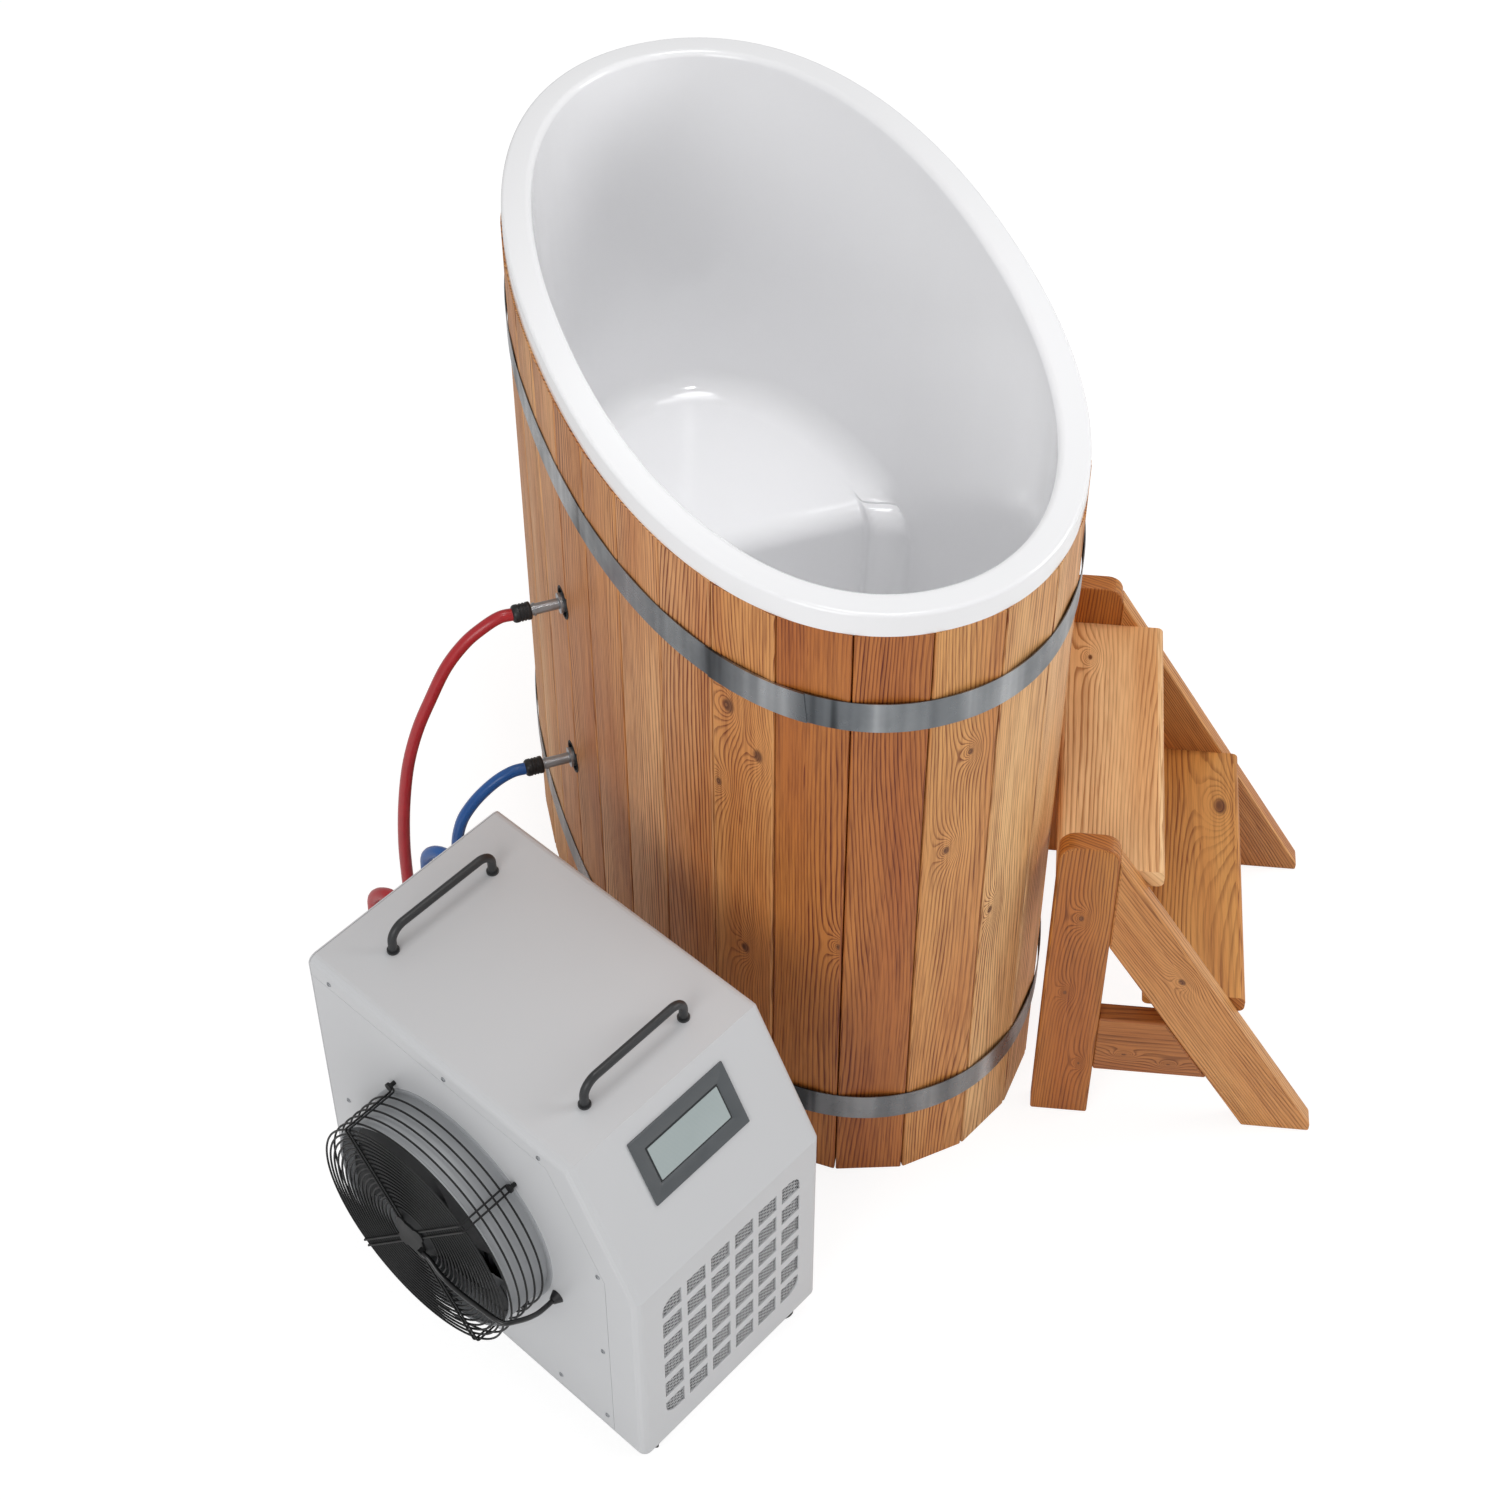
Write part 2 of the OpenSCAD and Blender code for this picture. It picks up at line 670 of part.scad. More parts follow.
module hose_collars() {
    color("black") {
        for (z = [fitting_high_z, fitting_low_z]) at_fitting(z)
            translate([0, 0, nipple_reach]) collar();
        for (x = [red_port_x, blue_port_x]) at_port(x) translate([0, 0, port_reach]) collar();
    }
}

// Chiller: its own frame has x across, y back from the front and z up from the base
chiller_x = -tub_w/2 - chiller_side_gap;
chiller_y = -tub_l/2 + chiller_end_gap;
slope_rise = case_h - front_h;
slope_angle = atan2(slope_rise, slope_run);
red_port_x = case_w*7/12;
blue_port_x = case_w*7/8;
port_z = case_h - port_drop;
port_reach = flange_t;
module at_chiller() {
    translate([chiller_x, chiller_y, case_z]) rotate([0, 0, chiller_turn])
        translate([-case_w, -case_d, 0]) children();
}
module at_port(x) {
    at_chiller() translate([x, case_d, port_z]) rotate([-90, 0, 0]) children();
}
// Side outline of the case, with every face moved in by e
function side_outline(front, slope, top, back, low) = [
    [front, low], [back, low], [back, case_h - top],
    [(slope + (slope_rise - top)*cos(slope_angle))/sin(slope_angle), case_h - top],
    [front, front_h + (front*sin(slope_angle) - slope)/cos(slope_angle)]
];
module prism(points, x0, x1) {
    translate([x0, 0, 0]) rotate([90, 0, 90]) linear_extrude(x1 - x0) polygon(points);
}
// The folded form, e inside the outer faces: side outlines that grow out to it through the bend
bend_steps = 4;
function case_ring(x, e) = [
    for (p = side_outline(e, e, e, case_d + cut + e, -cut - e)) [x, p.x, p.y]
];
module case_form(e) {
    r = bend_r - e;
    bend = [for (k = [0 : bend_steps]) 90*k/bend_steps];
    skin(concat(
        [for (t = bend) case_ring(e + r*(1 - cos(t)), e + r*(1 - sin(t)))],
        [for (t = turned(bend)) case_ring(case_w - e - r*(1 - cos(t)), e + r*(1 - sin(t)))]));
}
module grille_windows() {
    field_w = window_cols*window_w + (window_cols - 1)*bar_w;
    field_h = window_rows*window_h + (window_rows - 1)*bar_h;
    intersection() {
        translate([grille_x, -cut, grille_z]) rotate([90, 0, 0]) mirror([0, 0, 1])
            linear_extrude(sheet_t + 2*cut) {
                translate([field_r, 0]) square([field_w - 2*field_r, field_h]);
                translate([0, field_r]) square([field_w, field_h - 2*field_r]);
                for (x = [field_r, field_w - field_r]) for (z = [field_r, field_h - field_r])
                    translate([x, z]) circle(r = field_r);
            }
        for (i = [0 : window_cols - 1]) for (j = [0 : window_rows - 1])
            translate([grille_x + i*(window_w + bar_w), -cut, grille_z + j*(window_h + bar_h)])
                cube([window_w, sheet_t + 2*cut, window_h]);
    }
}
module case_cover() {
    color("gainsboro") at_chiller() difference() {
        case_form(0);
        case_form(sheet_t);
        translate([-cut, -cut, -3*cut]) cube([case_w + 2*cut, case_d + 3*cut, 3*cut + pan_t]);
        translate([-cut, case_d - sheet_t - seam_gap, 0])
            cube([case_w + 2*cut, 3*cut, case_h + cut]);
        for (x = [-cut, case_w - sheet_t - cut])
            prism(side_outline(seam_y, seam_slope, seam_z, case_d + 2*cut, -2*cut),
                x, x + sheet_t + 2*cut);
        grille_windows();
    }
}
module side_panel(x) {
    color("gainsboro") prism(side_outline(seam_y + seam_gap, seam_slope + seam_gap,
        seam_z + seam_gap, case_d - sheet_t - seam_gap, pan_t + seam_gap), x, x + sheet_t);
}
module left_panel() {
    at_chiller() difference() {
        side_panel(0);
        translate([-cut, fan_y, fan_z]) rotate([0, 90, 0])
            cylinder(r = shroud_r - sheet_t, h = 2*cut);
        translate([-cut, gland_y, gland_z]) rotate([0, 90, 0])
            cylinder(r = cable_r + waste_t, h = 2*cut);
    }
}
module right_panel() { at_chiller() side_panel(case_w - sheet_t); }
module rear_panel() {
    color("gainsboro") at_chiller() difference() {
        intersection() {
            case_form(0);
            translate([-cut, case_d - sheet_t, pan_t + seam_gap]) cube([case_w + 2*cut, sheet_t, case_h]);
        }
        for (x = [red_port_x, blue_port_x]) translate([x, case_d - cut, port_z])
            rotate([-90, 0, 0]) cylinder(r = port_r + nest_gap, h = 2*cut);
    }
}
module base_pan() {
    color("gainsboro") at_chiller() linear_extrude(pan_t) {
        translate([0, bend_r]) square([case_w, case_d - bend_r]);
        translate([bend_r, 0]) square([case_w - 2*bend_r, bend_r]);
        for (x = [bend_r, case_w - bend_r]) translate([x, bend_r]) circle(r = bend_r);
    }
}
module grille_mesh() {
    field_w = window_cols*(window_w + bar_w);
    field_h = window_rows*(window_h + bar_h);
    cols = floor(field_w/(mesh_l + strand));
    rows = floor(field_h/(mesh_h + strand));
    x0 = (field_w - cols*(mesh_l + strand))/2;
    z0 = (field_h - rows*(mesh_h + strand))/2;
    color("dimgray") at_chiller()
        translate([grille_x - bar_w/2, sheet_t + mesh_t, grille_z - bar_h/2]) rotate([90, 0, 0])
        linear_extrude(mesh_t) difference() {
            square([field_w, field_h]);
            for (j = [0 : rows - 1]) for (i = [0 : cols - 1 - j % 2]) {
                x = x0 + (i + 0.5 + (j % 2)/2)*(mesh_l + strand);
                translate([x, z0 + (j + 0.5)*(mesh_h + strand)])
                    polygon([[-mesh_l/2, 0], [0, -mesh_h/2], [mesh_l/2, 0], [0, mesh_h/2]]);
            }
        }
}
module on_slope() {
    at_chiller() translate([0, 0, front_h]) rotate([slope_angle, 0, 0]) children();
}
module display_bezel() {
    color("dimgray") on_slope() translate([(case_w - bezel_w)/2, bezel_up, 0]) difference() {
        cube([bezel_w, bezel_h, bezel_t]);
        translate([(bezel_w - screen_w)/2, (bezel_h - screen_h)/2, bezel_t/3])
            cube([screen_w, screen_h, bezel_t]);
    }
}
module display_screen() {
    x = (case_w - screen_w)/2 + nest_gap;
    up = bezel_up + (bezel_h - screen_h)/2 + nest_gap;
    color("lightgray") on_slope() translate([x, up, bezel_t/3])
        cube([screen_w - 2*nest_gap, screen_h - 2*nest_gap, bezel_t/3]);
}
module handle(y) {
    lift = handle_h - handle_bend;
    color("black") at_chiller() translate([(case_w - handle_w)/2, y, case_h]) {
        for (x = [0, handle_w]) translate([x, 0, 0]) {
            cylinder(r = handle_r, h = lift);
            cylinder(r = handle_r*1.4, h = waste_t);
        }
        translate([handle_bend, 0, lift]) rotate([90, 0, 180])
            rotate_extrude(angle = 90) translate([handle_bend, 0]) circle(r = handle_r);
        translate([handle_w - handle_bend, 0, lift]) rotate([90, 0, 0])
            rotate_extrude(angle = 90) translate([handle_bend, 0]) circle(r = handle_r);
        translate([handle_bend, 0, handle_h]) rotate([0, 90, 0])
            cylinder(r = handle_r, h = handle_w - 2*handle_bend);
    }
}
module front_handle() { handle(handle_front_y); }
module rear_handle() { handle(case_d - handle_rear_y); }
port_r = body_r - waste_wall;
port_in = 4*flange_t;
module hose_ports() {
    color("silver") for (x = [red_port_x, blue_port_x]) at_port(x) difference() {
        union() {
            cylinder(r = flange_r - waste_wall, h = flange_t - nest_gap);
            translate([0, 0, -port_in]) cylinder(r = port_r, h = port_in);
            cylinder(r = nipple_r, h = port_reach + nipple_grip - nest_gap);
        }
        translate([0, 0, -port_in - cut])
            cylinder(r = bore_r, h = port_in + port_reach + nipple_grip + 2*cut);
    }
}

// Fan: its own frame has x up, y back and z out from the left side
gland_y = fan_y - gland_ahead;
gland_z = fan_z - gland_drop;
module at_fan() {
    at_chiller() translate([0, fan_y, fan_z]) rotate([0, -90, 0]) children();
}
module fan_shroud() {
    lip = 2*sheet_t;
    color("lightgray") at_fan() {
        tube(0, shroud_l, shroud_r, shroud_r - sheet_t);
        tube(0, sheet_t, shroud_r + 2*lip, shroud_r - sheet_t/2);
        translate([0, 0, shroud_l - sheet_t]) rotate_extrude()
            translate([shroud_r - sheet_t/2, 0]) circle(r = sheet_t);
    }
}
ring_step = (guard_r - inner_ring_r)/(front_rings - 1);
side_step = (guard_l - guard_first)/side_rings;
module wire_ring(r, z) {
    translate([0, 0, z]) rotate_extrude() translate([r, 0]) circle(r = wire_r, $fn = 16);
}
module guard_front() {
    color("black") at_fan() {
        for (k = [0 : front_rings - 1]) wire_ring(inner_ring_r + k*ring_step, guard_l);
        at_stays() for (side = [-1, 1]) translate([stay_start, side*stay_pair/2, stay_z])
            rotate([0, 90, 0])
            cylinder(r = wire_r, h = stay_r - stay_bend - stay_start, $fn = 16);
        translate([0, 0, stay_z]) hub_plate();
        translate([-cable_r - waste_t, clamp_y, plate_top - wire_r])
            cube([2*cable_r, 2*cable_r, 2*cable_r + wire_r]);
    }
}
// Stays: pairs of wires over the rings, from the hub plate to an eye on the panel
stay_r = guard_r + 2*wire_r + weld_gap;
stay_z = guard_l + 2*wire_r + weld_gap;
stay_bend = 2*wire_r + weld_gap;
eye_x = stay_r + stay_bend + flange_t;
eye_z = sheet_t + wire_r + flange_t;
stay_start = hub_r*0.92;
plate_top = stay_z + 2*wire_r;
clamp_y = -hub_r*0.8;
module at_stays() {
    for (a = [90 - stay_turn, 90 + stay_turn, -90 - stay_turn, stay_turn - 90])
        rotate([0, 0, a]) children();
}
module quarter_bend(first) {
    rotate([90, 0, 0]) rotate_extrude(angle = 90, start = first)
        translate([stay_bend, 0]) circle(r = wire_r, $fn = 16);
}
module stay_side() {
    translate([stay_r - stay_bend, 0, stay_z - stay_bend]) quarter_bend(0);
    translate([stay_r, 0, eye_z + stay_bend])
        cylinder(r = wire_r, h = stay_z - eye_z - 2*stay_bend, $fn = 16);
    translate([stay_r + stay_bend, 0, eye_z + stay_bend]) quarter_bend(180);
    translate([stay_r + stay_bend, 0, eye_z]) rotate([0, 90, 0])
        cylinder(r = wire_r, h = flange_t, $fn = 16);
}
module guard_side() {
    color("black") at_fan() {
        for (k = [0 : side_rings - 1]) wire_ring(guard_r, guard_first + k*side_step);
        at_stays() {
            for (side = [-1, 1]) translate([0, side*stay_pair/2, 0]) stay_side();
            translate([eye_x, 0, eye_z]) rotate_extrude(angle = 180, start = -90)
                translate([stay_pair/2, 0]) circle(r = wire_r, $fn = 16);
            translate([eye_x, 0, 0]) cylinder(r = stay_pair/2 - wire_r, h = eye_z + wire_r);
            translate([eye_x, 0, eye_z + wire_r]) cylinder(r = stay_pair/2 + wire_r, h = sheet_t);
        }
    }
}
module hub_plate() {
    arm = hub_r*0.55;
    cylinder(r = hub_r*0.75, h = 2*wire_r);
    at_stays() {
        translate([0, -arm/2, 0]) cube([hub_r - arm/2, arm, 2*wire_r]);
        translate([hub_r - arm/2, 0, 0]) cylinder(r = arm/2, h = 2*wire_r);
    }
}
// The motor's fixed half hangs from the hub plate and carries the axle
motor_top = stay_z;
motor_h = 2*flange_t;
rotor_top = motor_top - motor_h - sheet_t;
module fan_motor() {
    color("darkgray") at_fan() {
        translate([0, 0, motor_top - motor_h])
            cylinder(r1 = rotor_r*0.9, r2 = hub_r*0.88, h = motor_h);
        translate([0, 0, rotor_top - rotor_h + 3*sheet_t]) cylinder(r = axle_r, h = rotor_h);
    }
}
blade_root = rotor_r - blade_t;
blade_tip = shroud_r - sheet_t - tip_gap;
blade_mid = rotor_top - rotor_h/2;
blade_cells = 4;
function blade_point(i, k, off) = let (
    t = i/blade_cells, c = k/blade_cells - 0.5,
    r = blade_root + (blade_tip - blade_root)*t,
    a = blade_sweep*t*t + c*(root_angle + (tip_angle - root_angle)*t),
    lift = blade_depth*(1 - 0.35*t)*(c + 0.18*(1 - 4*c*c))
) [r*cos(a), r*sin(a), blade_mid + lift + off];
module blade() {
    n = blade_cells;
    m = n + 1;
    top = m*m;
    quads = [
        for (i = [0 : n - 1]) for (k = [0 : n - 1])
        [i*m + k, i*m + k + 1, (i + 1)*m + k + 1, (i + 1)*m + k]
    ];
    rim = concat([for (k = [0 : n - 1]) k], [for (i = [0 : n - 1]) i*m + n],
        [for (k = [n : -1 : 1]) n*m + k], [for (i = [n : -1 : 1]) i*m]);
    edges = [for (k = [0 : len(rim) - 1]) [rim[k], rim[(k + 1) % len(rim)]]];
    polyhedron(
        points = concat(
            [for (i = [0 : n]) for (k = [0 : n]) blade_point(i, k, -blade_t/2)],
            [for (i = [0 : n]) for (k = [0 : n]) blade_point(i, k, blade_t/2)]),
        faces = concat(
            [for (q = quads) [q[2], q[1], q[0]]], [for (q = quads) [q[3], q[2], q[0]]],
            [for (q = quads) [top + q[0], top + q[1], top + q[2]]],
            [for (q = quads) [top + q[0], top + q[2], top + q[3]]],
            [for (e = edges) [e[0], e[1], top + e[1]]],
            [for (e = edges) [e[0], top + e[1], top + e[0]]]));
}
module fan_rotor() {
    color("black") at_fan() difference() {
        union() {
            translate([0, 0, rotor_top - rotor_h]) cylinder(r = rotor_r, h = rotor_h);
            for (k = [0 : blade_count - 1]) rotate([0, 0, 360*k/blade_count]) blade();
        }
        translate([0, 0, rotor_top - rotor_h + 2*sheet_t])
            cylinder(r = axle_r + run_gap, h = rotor_h);
    }
}
module fan_cable() {
    start = [clamp_y, -waste_t, plate_top + cable_r];
    end = [-gland_ahead, -gland_drop, 2*flange_t];
    list = concat([start, start - [2*cable_r, 0, 0]], cable_route, [end + [0, 0, 2*cable_r], end]);
    color("black") at_fan() swept([for (p = list) [p.y, p.x, p.z]], cable_r, [1, 0, 0], 8);
}
module cable_gland() {
    color("black") at_fan() translate([gland_z - fan_z, gland_y - fan_y, 0]) {
        cylinder(r1 = 2*cable_r + waste_t, r2 = cable_r + waste_t/2, h = 2*flange_t);
        translate([0, 0, -2*flange_t]) cylinder(r = cable_r + waste_t - nest_gap, h = 2*flange_t);
    }
}

// Works inside the case
coil_x = 10*sheet_t;
coil_fins = 18;
module condenser_coil() {
    coil_l = 2*shroud_r;
    coil_h = case_h - seam_z - 2*foot_h;
    pitch = coil_l/coil_fins;
    tubes = 6;
    color("silver") at_chiller() translate([coil_x, fan_y - coil_l/2, pan_t]) {
        difference() {
            cube([coil_t, coil_l, coil_h]);
            for (k = [0 : coil_fins - 1]) translate([-cut, (k + 0.25)*pitch, foot_h/2])
                cube([coil_t/3 + cut, pitch/2, coil_h - foot_h]);
        }
        for (k = [0 : tubes - 1]) translate([coil_t/2, coil_l, (k + 0.5)*coil_h/tubes])
            rotate([90, 0, 90]) rotate_extrude(angle = 180, start = -90)
            translate([coil_h/tubes/4, 0]) circle(r = nipple_r/2, $fn = 16);
    }
}
module compressor() {
    r = case_w/6.5;
    color("dimgray") at_chiller() translate([case_w*0.68, case_d*0.24, pan_t]) {
        for (a = [90 : 120 : 330]) rotate([0, 0, a]) translate([r, 0, 0])
            cylinder(r = 2*flange_t, h = foot_h/2 + pan_t/2);
        translate([0, 0, foot_h/2]) cylinder(r = r*1.1, h = pan_t);
        translate([0, 0, foot_h/2]) cylinder(r = r, h = 3.4*r);
        translate([0, 0, foot_h/2 + 3.4*r]) cylinder(r1 = r, r2 = r*0.6, h = r*0.35);
        translate([-r*1.35, 0, foot_h]) cylinder(r = r*0.33, h = 2.6*r);
        translate([-r*1.35, -waste_t, foot_h + r]) cube([r, 2*waste_t, foot_h]);
    }
}
shell_r = case_w*0.21;
shell_top = port_z - 2*shell_r;
shell_x = (red_port_x + blue_port_x)/2;
shell_y = case_d - 2*sheet_t - shell_r - flange_t;
pipe_y = case_d - port_in;
pipe_bend = 3*nipple_r;
module heat_exchanger() {
    dome = shell_r*0.2;
    side = shell_top - pan_t - dome;
    color("black") at_chiller() translate([shell_x, shell_y, pan_t]) {
        cylinder(r = shell_r, h = side);
        translate([0, 0, side]) cylinder(r1 = shell_r, r2 = shell_r*0.98, h = dome);
        translate([0, 0, foot_h*2]) cylinder(r = shell_r*1.03, h = foot_h);
    }
}
module water_pipes() {
    color("white") at_chiller() for (x = [red_port_x, blue_port_x]) translate([x, pipe_y, port_z]) {
        rotate([0, -90, 0]) translate([-pipe_bend, 0, 0]) rotate_extrude(angle = -90)
            translate([pipe_bend, 0]) circle(r = nipple_r);
        translate([0, -pipe_bend, shell_top - port_z])
            cylinder(r = nipple_r, h = port_z - pipe_bend - shell_top);
    }
}
module circulation_pump() {
    r = case_w/9;
    l = case_d/4.2;
    color("black") at_chiller() translate([case_w*0.73, case_d*0.4, pan_t]) {
        translate([-r, 0, 0]) cube([2*r, l, foot_h/2]);
        translate([-r/2, l*0.2, 0]) cube([r, l*0.6, r]);
        translate([0, 0, r*1.2]) rotate([-90, 0, 0]) cylinder(r = r*0.85, h = l*0.6);
        translate([0, l*0.6, r*1.2]) rotate([-90, 0, 0]) cylinder(r = r, h = l*0.4);
        translate([0, l*0.8, r*1.2]) cylinder(r = nipple_r, h = 2*r);
    }
}
module controller_box() {
    w = screen_w*1.1;
    d = case_d*0.2;
    h = case_h*0.07;
    color("gray") at_chiller()
        translate([(case_w - w)/2, slope_run + foot_h, case_h - sheet_t - h]) difference() {
            cube([w, d, h]);
            for (k = [1 : 6]) translate([k*w/7, -cut, h/4]) cube([sheet_t, cut + sheet_t, h/2]);
        }
}

// Casters: plate under the pan, a fork that swivels and a pair of wheels that rolls
caster_places = [
    [caster_x, caster_y, -135], [case_w - caster_x, caster_y, -45],
    [caster_x, case_d - caster_y, 135], [case_w - caster_x, case_d - caster_y, 45]
];
stem_z = 3*wheel_r/2 + flange_t/2;
module at_caster(k) {
    at_chiller() translate([caster_places[k].x, caster_places[k].y, -case_z])
        rotate([0, 0, caster_places[k].z]) children();
}
module caster_plates() {
    color("dimgray") for (k = [0 : 3]) at_caster(k) {
        difference() {
            translate([-plate_w/2, -plate_w/2, case_z - plate_t]) cube([plate_w, plate_w, plate_t]);
            for (x = [-1, 1]) for (y = [-1, 1])
                translate([x*plate_w*0.36, y*plate_w*0.36, case_z - 2*plate_t])
                cylinder(r = plate_t*0.8, h = 3*plate_t);
        }
        translate([0, 0, stem_z]) cylinder(r = swivel_r, h = case_z - plate_t/2 - stem_z);
    }
}
// Each fork leaves room for its wheels on both sides
module caster_fork(k) {
    arm_z = case_z - plate_t - run_gap*5;
    arm_low = wheel_r*1.2;
    head_r = swivel_r + waste_wall;
    color("black") at_caster(k) difference() {
        union() {
            translate([0, 0, stem_z]) cylinder(r = head_r, h = arm_z - stem_z);
            translate([-head_r, -fork_w/2, arm_low])
                cube([trail + head_r + flange_t, fork_w, arm_z - arm_low - plate_t]);
            translate([trail, fork_w/2, wheel_r]) rotate([90, 0, 0])
                cylinder(r = wheel_r*0.5, h = fork_w);
        }
        translate([0, 0, stem_z - cut]) cylinder(r = swivel_r + run_gap, h = 2*cut + wheel_r);
        translate([trail, fork_w/2 + cut, wheel_r]) rotate([90, 0, 0])
            cylinder(r = axle_r*0.6 + run_gap, h = fork_w + 2*cut);
        for (side = [-1, 1])
            translate([trail, side*(fork_w + nest_gap + cut)/2 + cut/2, wheel_r])
            rotate([90, 0, 0]) cylinder(r = wheel_r + nest_gap, h = cut);
    }
}
module caster_wheel(k) {
    side = fork_w/2 + nest_gap;
    color("black") at_caster(k) translate([trail, 0, wheel_r]) rotate([90, 0, 0]) {
        translate([0, 0, -side - wheel_w/2]) cylinder(r = axle_r*0.6, h = 2*side + wheel_w);
        for (z = [-side - wheel_w, side]) translate([0, 0, z]) rotate_extrude() polygon([
            [0, 0], [wheel_r*0.9, 0], [wheel_r, wheel_w*0.2], [wheel_r, wheel_w*0.8],
            [wheel_r*0.9, wheel_w], [0, wheel_w]
        ]);
    }
}
module caster_fork_1() { caster_fork(0); }
module caster_fork_2() { caster_fork(1); }
module caster_fork_3() { caster_fork(2); }
module caster_fork_4() { caster_fork(3); }
module caster_wheel_1() { caster_wheel(0); }
module caster_wheel_2() { caster_wheel(1); }
module caster_wheel_3() { caster_wheel(2); }
module caster_wheel_4() { caster_wheel(3); }

// Stool: its own frame has x out from the posts, y along the treads; the wall touches it behind
module at_stool() {
    translate(oval_point(90 - stool_turn, 0)) rotate([0, 0, stool_turn])
        translate([stool_gap, -stool_back, 0]) children();
}
function strut_out(z) = foot_run + (toe_cut - z)*strut_lean_share;
function strut_in(z) = foot_run - strut_foot - z*strut_lean_share;
strut_top = toe_cut + (foot_run - post_w)/strut_lean_share;
strut_low = (foot_run - strut_foot - post_w)/strut_lean_share;
module both_frames() {
    at_stool() for (y = [0, stool_w - frame_t]) translate([0, y + frame_t, 0]) rotate([90, 0, 0])
        linear_extrude(frame_t) children();
}
module stool_posts() {
    color("sandybrown") both_frames() {
        square([post_w, stool_h - post_r]);
        translate([post_r, 0]) square([post_w - 2*post_r, stool_h]);
        for (x = [post_r, post_w - post_r]) translate([x, stool_h - post_r]) circle(r = post_r);
    }
}
module stool_struts() {
    color("sandybrown") both_frames() polygon([
        [strut_in(0), 0], [foot_run, 0], [foot_run, toe_cut],
        [post_w, strut_top], [post_w, strut_low]
    ]);
}
module stool_rails() {
    color("sandybrown") both_frames() polygon([
        [post_w, rail_z], [strut_in(rail_z), rail_z],
        [strut_in(rail_z + rail_h), rail_z + rail_h], [post_w, rail_z + rail_h]
    ]);
}
module tread(s, d, top) {
    color("sandybrown") at_stool() translate([s, stool_w - frame_t, top - tread_t]) rotate([90, 0, 0])
        linear_extrude(stool_w - 2*frame_t) {
            translate([tread_round, 0]) square([d - 2*tread_round, tread_t]);
            translate([0, tread_round]) square([d, tread_t - 2*tread_round]);
            for (x = [tread_round, d - tread_round]) for (z = [tread_round, tread_t - tread_round])
                translate([x, z]) circle(r = tread_round);
        }
}
module upper_tread() { tread(0, upper_tread_d, upper_tread_z); }
module lower_tread() { tread(lower_tread_s, lower_tread_d, lower_tread_z); }
module tread_cleats() {
    places = [
        [tread_round, strut_out(upper_tread_z - tread_t) - 2*tread_round, upper_tread_z],
        [strut_in(lower_tread_z - tread_t) + tread_round, post_w, lower_tread_z]
    ];
    color("sandybrown") at_stool() for (p = places) for (y = [frame_t, stool_w - frame_t - cleat])
        translate([p[0], y, p[2] - tread_t - cleat]) cube([p[1], cleat, cleat]);
}

base_bearers();
floor_board();
seat_prop();
staves_head();
staves_right();
staves_foot();
staves_left();
hoop_lower();
hoop_upper();
liner();
upper_bulkhead();
lower_bulkhead();
bulkhead_nuts();
bulkhead_seals();
return_nozzle();
inlet_strainer();
drain_waste();
drain_cap();
hose_collars();
red_hose();
blue_hose();
base_pan();
case_cover();
left_panel();
right_panel();
rear_panel();
grille_mesh();
display_bezel();
display_screen();
front_handle();
rear_handle();
hose_ports();
fan_shroud();
guard_front();
guard_side();
fan_motor();
fan_rotor();
fan_cable();
cable_gland();
condenser_coil();
compressor();
heat_exchanger();
water_pipes();
circulation_pump();
controller_box();
caster_plates();
caster_fork_1();
caster_fork_2();
caster_fork_3();
caster_fork_4();
caster_wheel_1();
caster_wheel_2();
caster_wheel_3();
caster_wheel_4();
stool_posts();
stool_struts();
stool_rails();
upper_tread();
lower_tread();
tread_cleats();
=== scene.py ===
import math
import bmesh
import bpy
from mathutils import Matrix, Vector


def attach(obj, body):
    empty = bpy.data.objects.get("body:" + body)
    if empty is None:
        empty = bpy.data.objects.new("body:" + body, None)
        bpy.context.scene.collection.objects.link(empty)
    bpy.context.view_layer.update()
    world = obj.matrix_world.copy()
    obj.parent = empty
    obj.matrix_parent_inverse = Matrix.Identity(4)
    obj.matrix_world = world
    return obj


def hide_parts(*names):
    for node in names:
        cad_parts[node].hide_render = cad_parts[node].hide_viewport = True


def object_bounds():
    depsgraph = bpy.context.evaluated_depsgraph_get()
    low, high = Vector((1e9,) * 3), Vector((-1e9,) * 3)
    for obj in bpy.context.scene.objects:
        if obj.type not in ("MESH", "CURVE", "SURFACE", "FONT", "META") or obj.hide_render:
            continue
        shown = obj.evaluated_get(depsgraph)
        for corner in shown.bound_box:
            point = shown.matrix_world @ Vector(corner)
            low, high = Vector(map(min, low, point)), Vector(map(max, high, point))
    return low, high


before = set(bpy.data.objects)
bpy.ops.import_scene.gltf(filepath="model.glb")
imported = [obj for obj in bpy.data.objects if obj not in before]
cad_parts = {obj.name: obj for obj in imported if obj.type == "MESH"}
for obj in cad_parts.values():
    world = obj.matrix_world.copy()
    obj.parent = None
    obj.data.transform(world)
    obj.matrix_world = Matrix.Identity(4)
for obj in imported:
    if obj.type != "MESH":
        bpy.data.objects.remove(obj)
cad_low, cad_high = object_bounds()

# Camera: stands high off the tub's foot end, on the chiller's side, and looks down into the bath.
# Its three directions are unit vectors; the picture's centre lies below the lens axis.
CAMERA_PLACE = (-0.9645, -2.7186, 3.4922)
CAMERA_RIGHT = (0.946898, -0.321534, -0.001043)
CAMERA_UP = (0.221378, 0.649588, 0.727343)
CAMERA_BACK = (-0.233188, -0.68895, 0.686274)
LENS_MM, SENSOR_MM = 66.91, 36
PICTURE_SHIFT = -250 / 1500


def placed(name, data):
    """A new object with that data, put in the scene."""
    item = bpy.data.objects.new(name, data)
    bpy.context.scene.collection.objects.link(item)
    return item


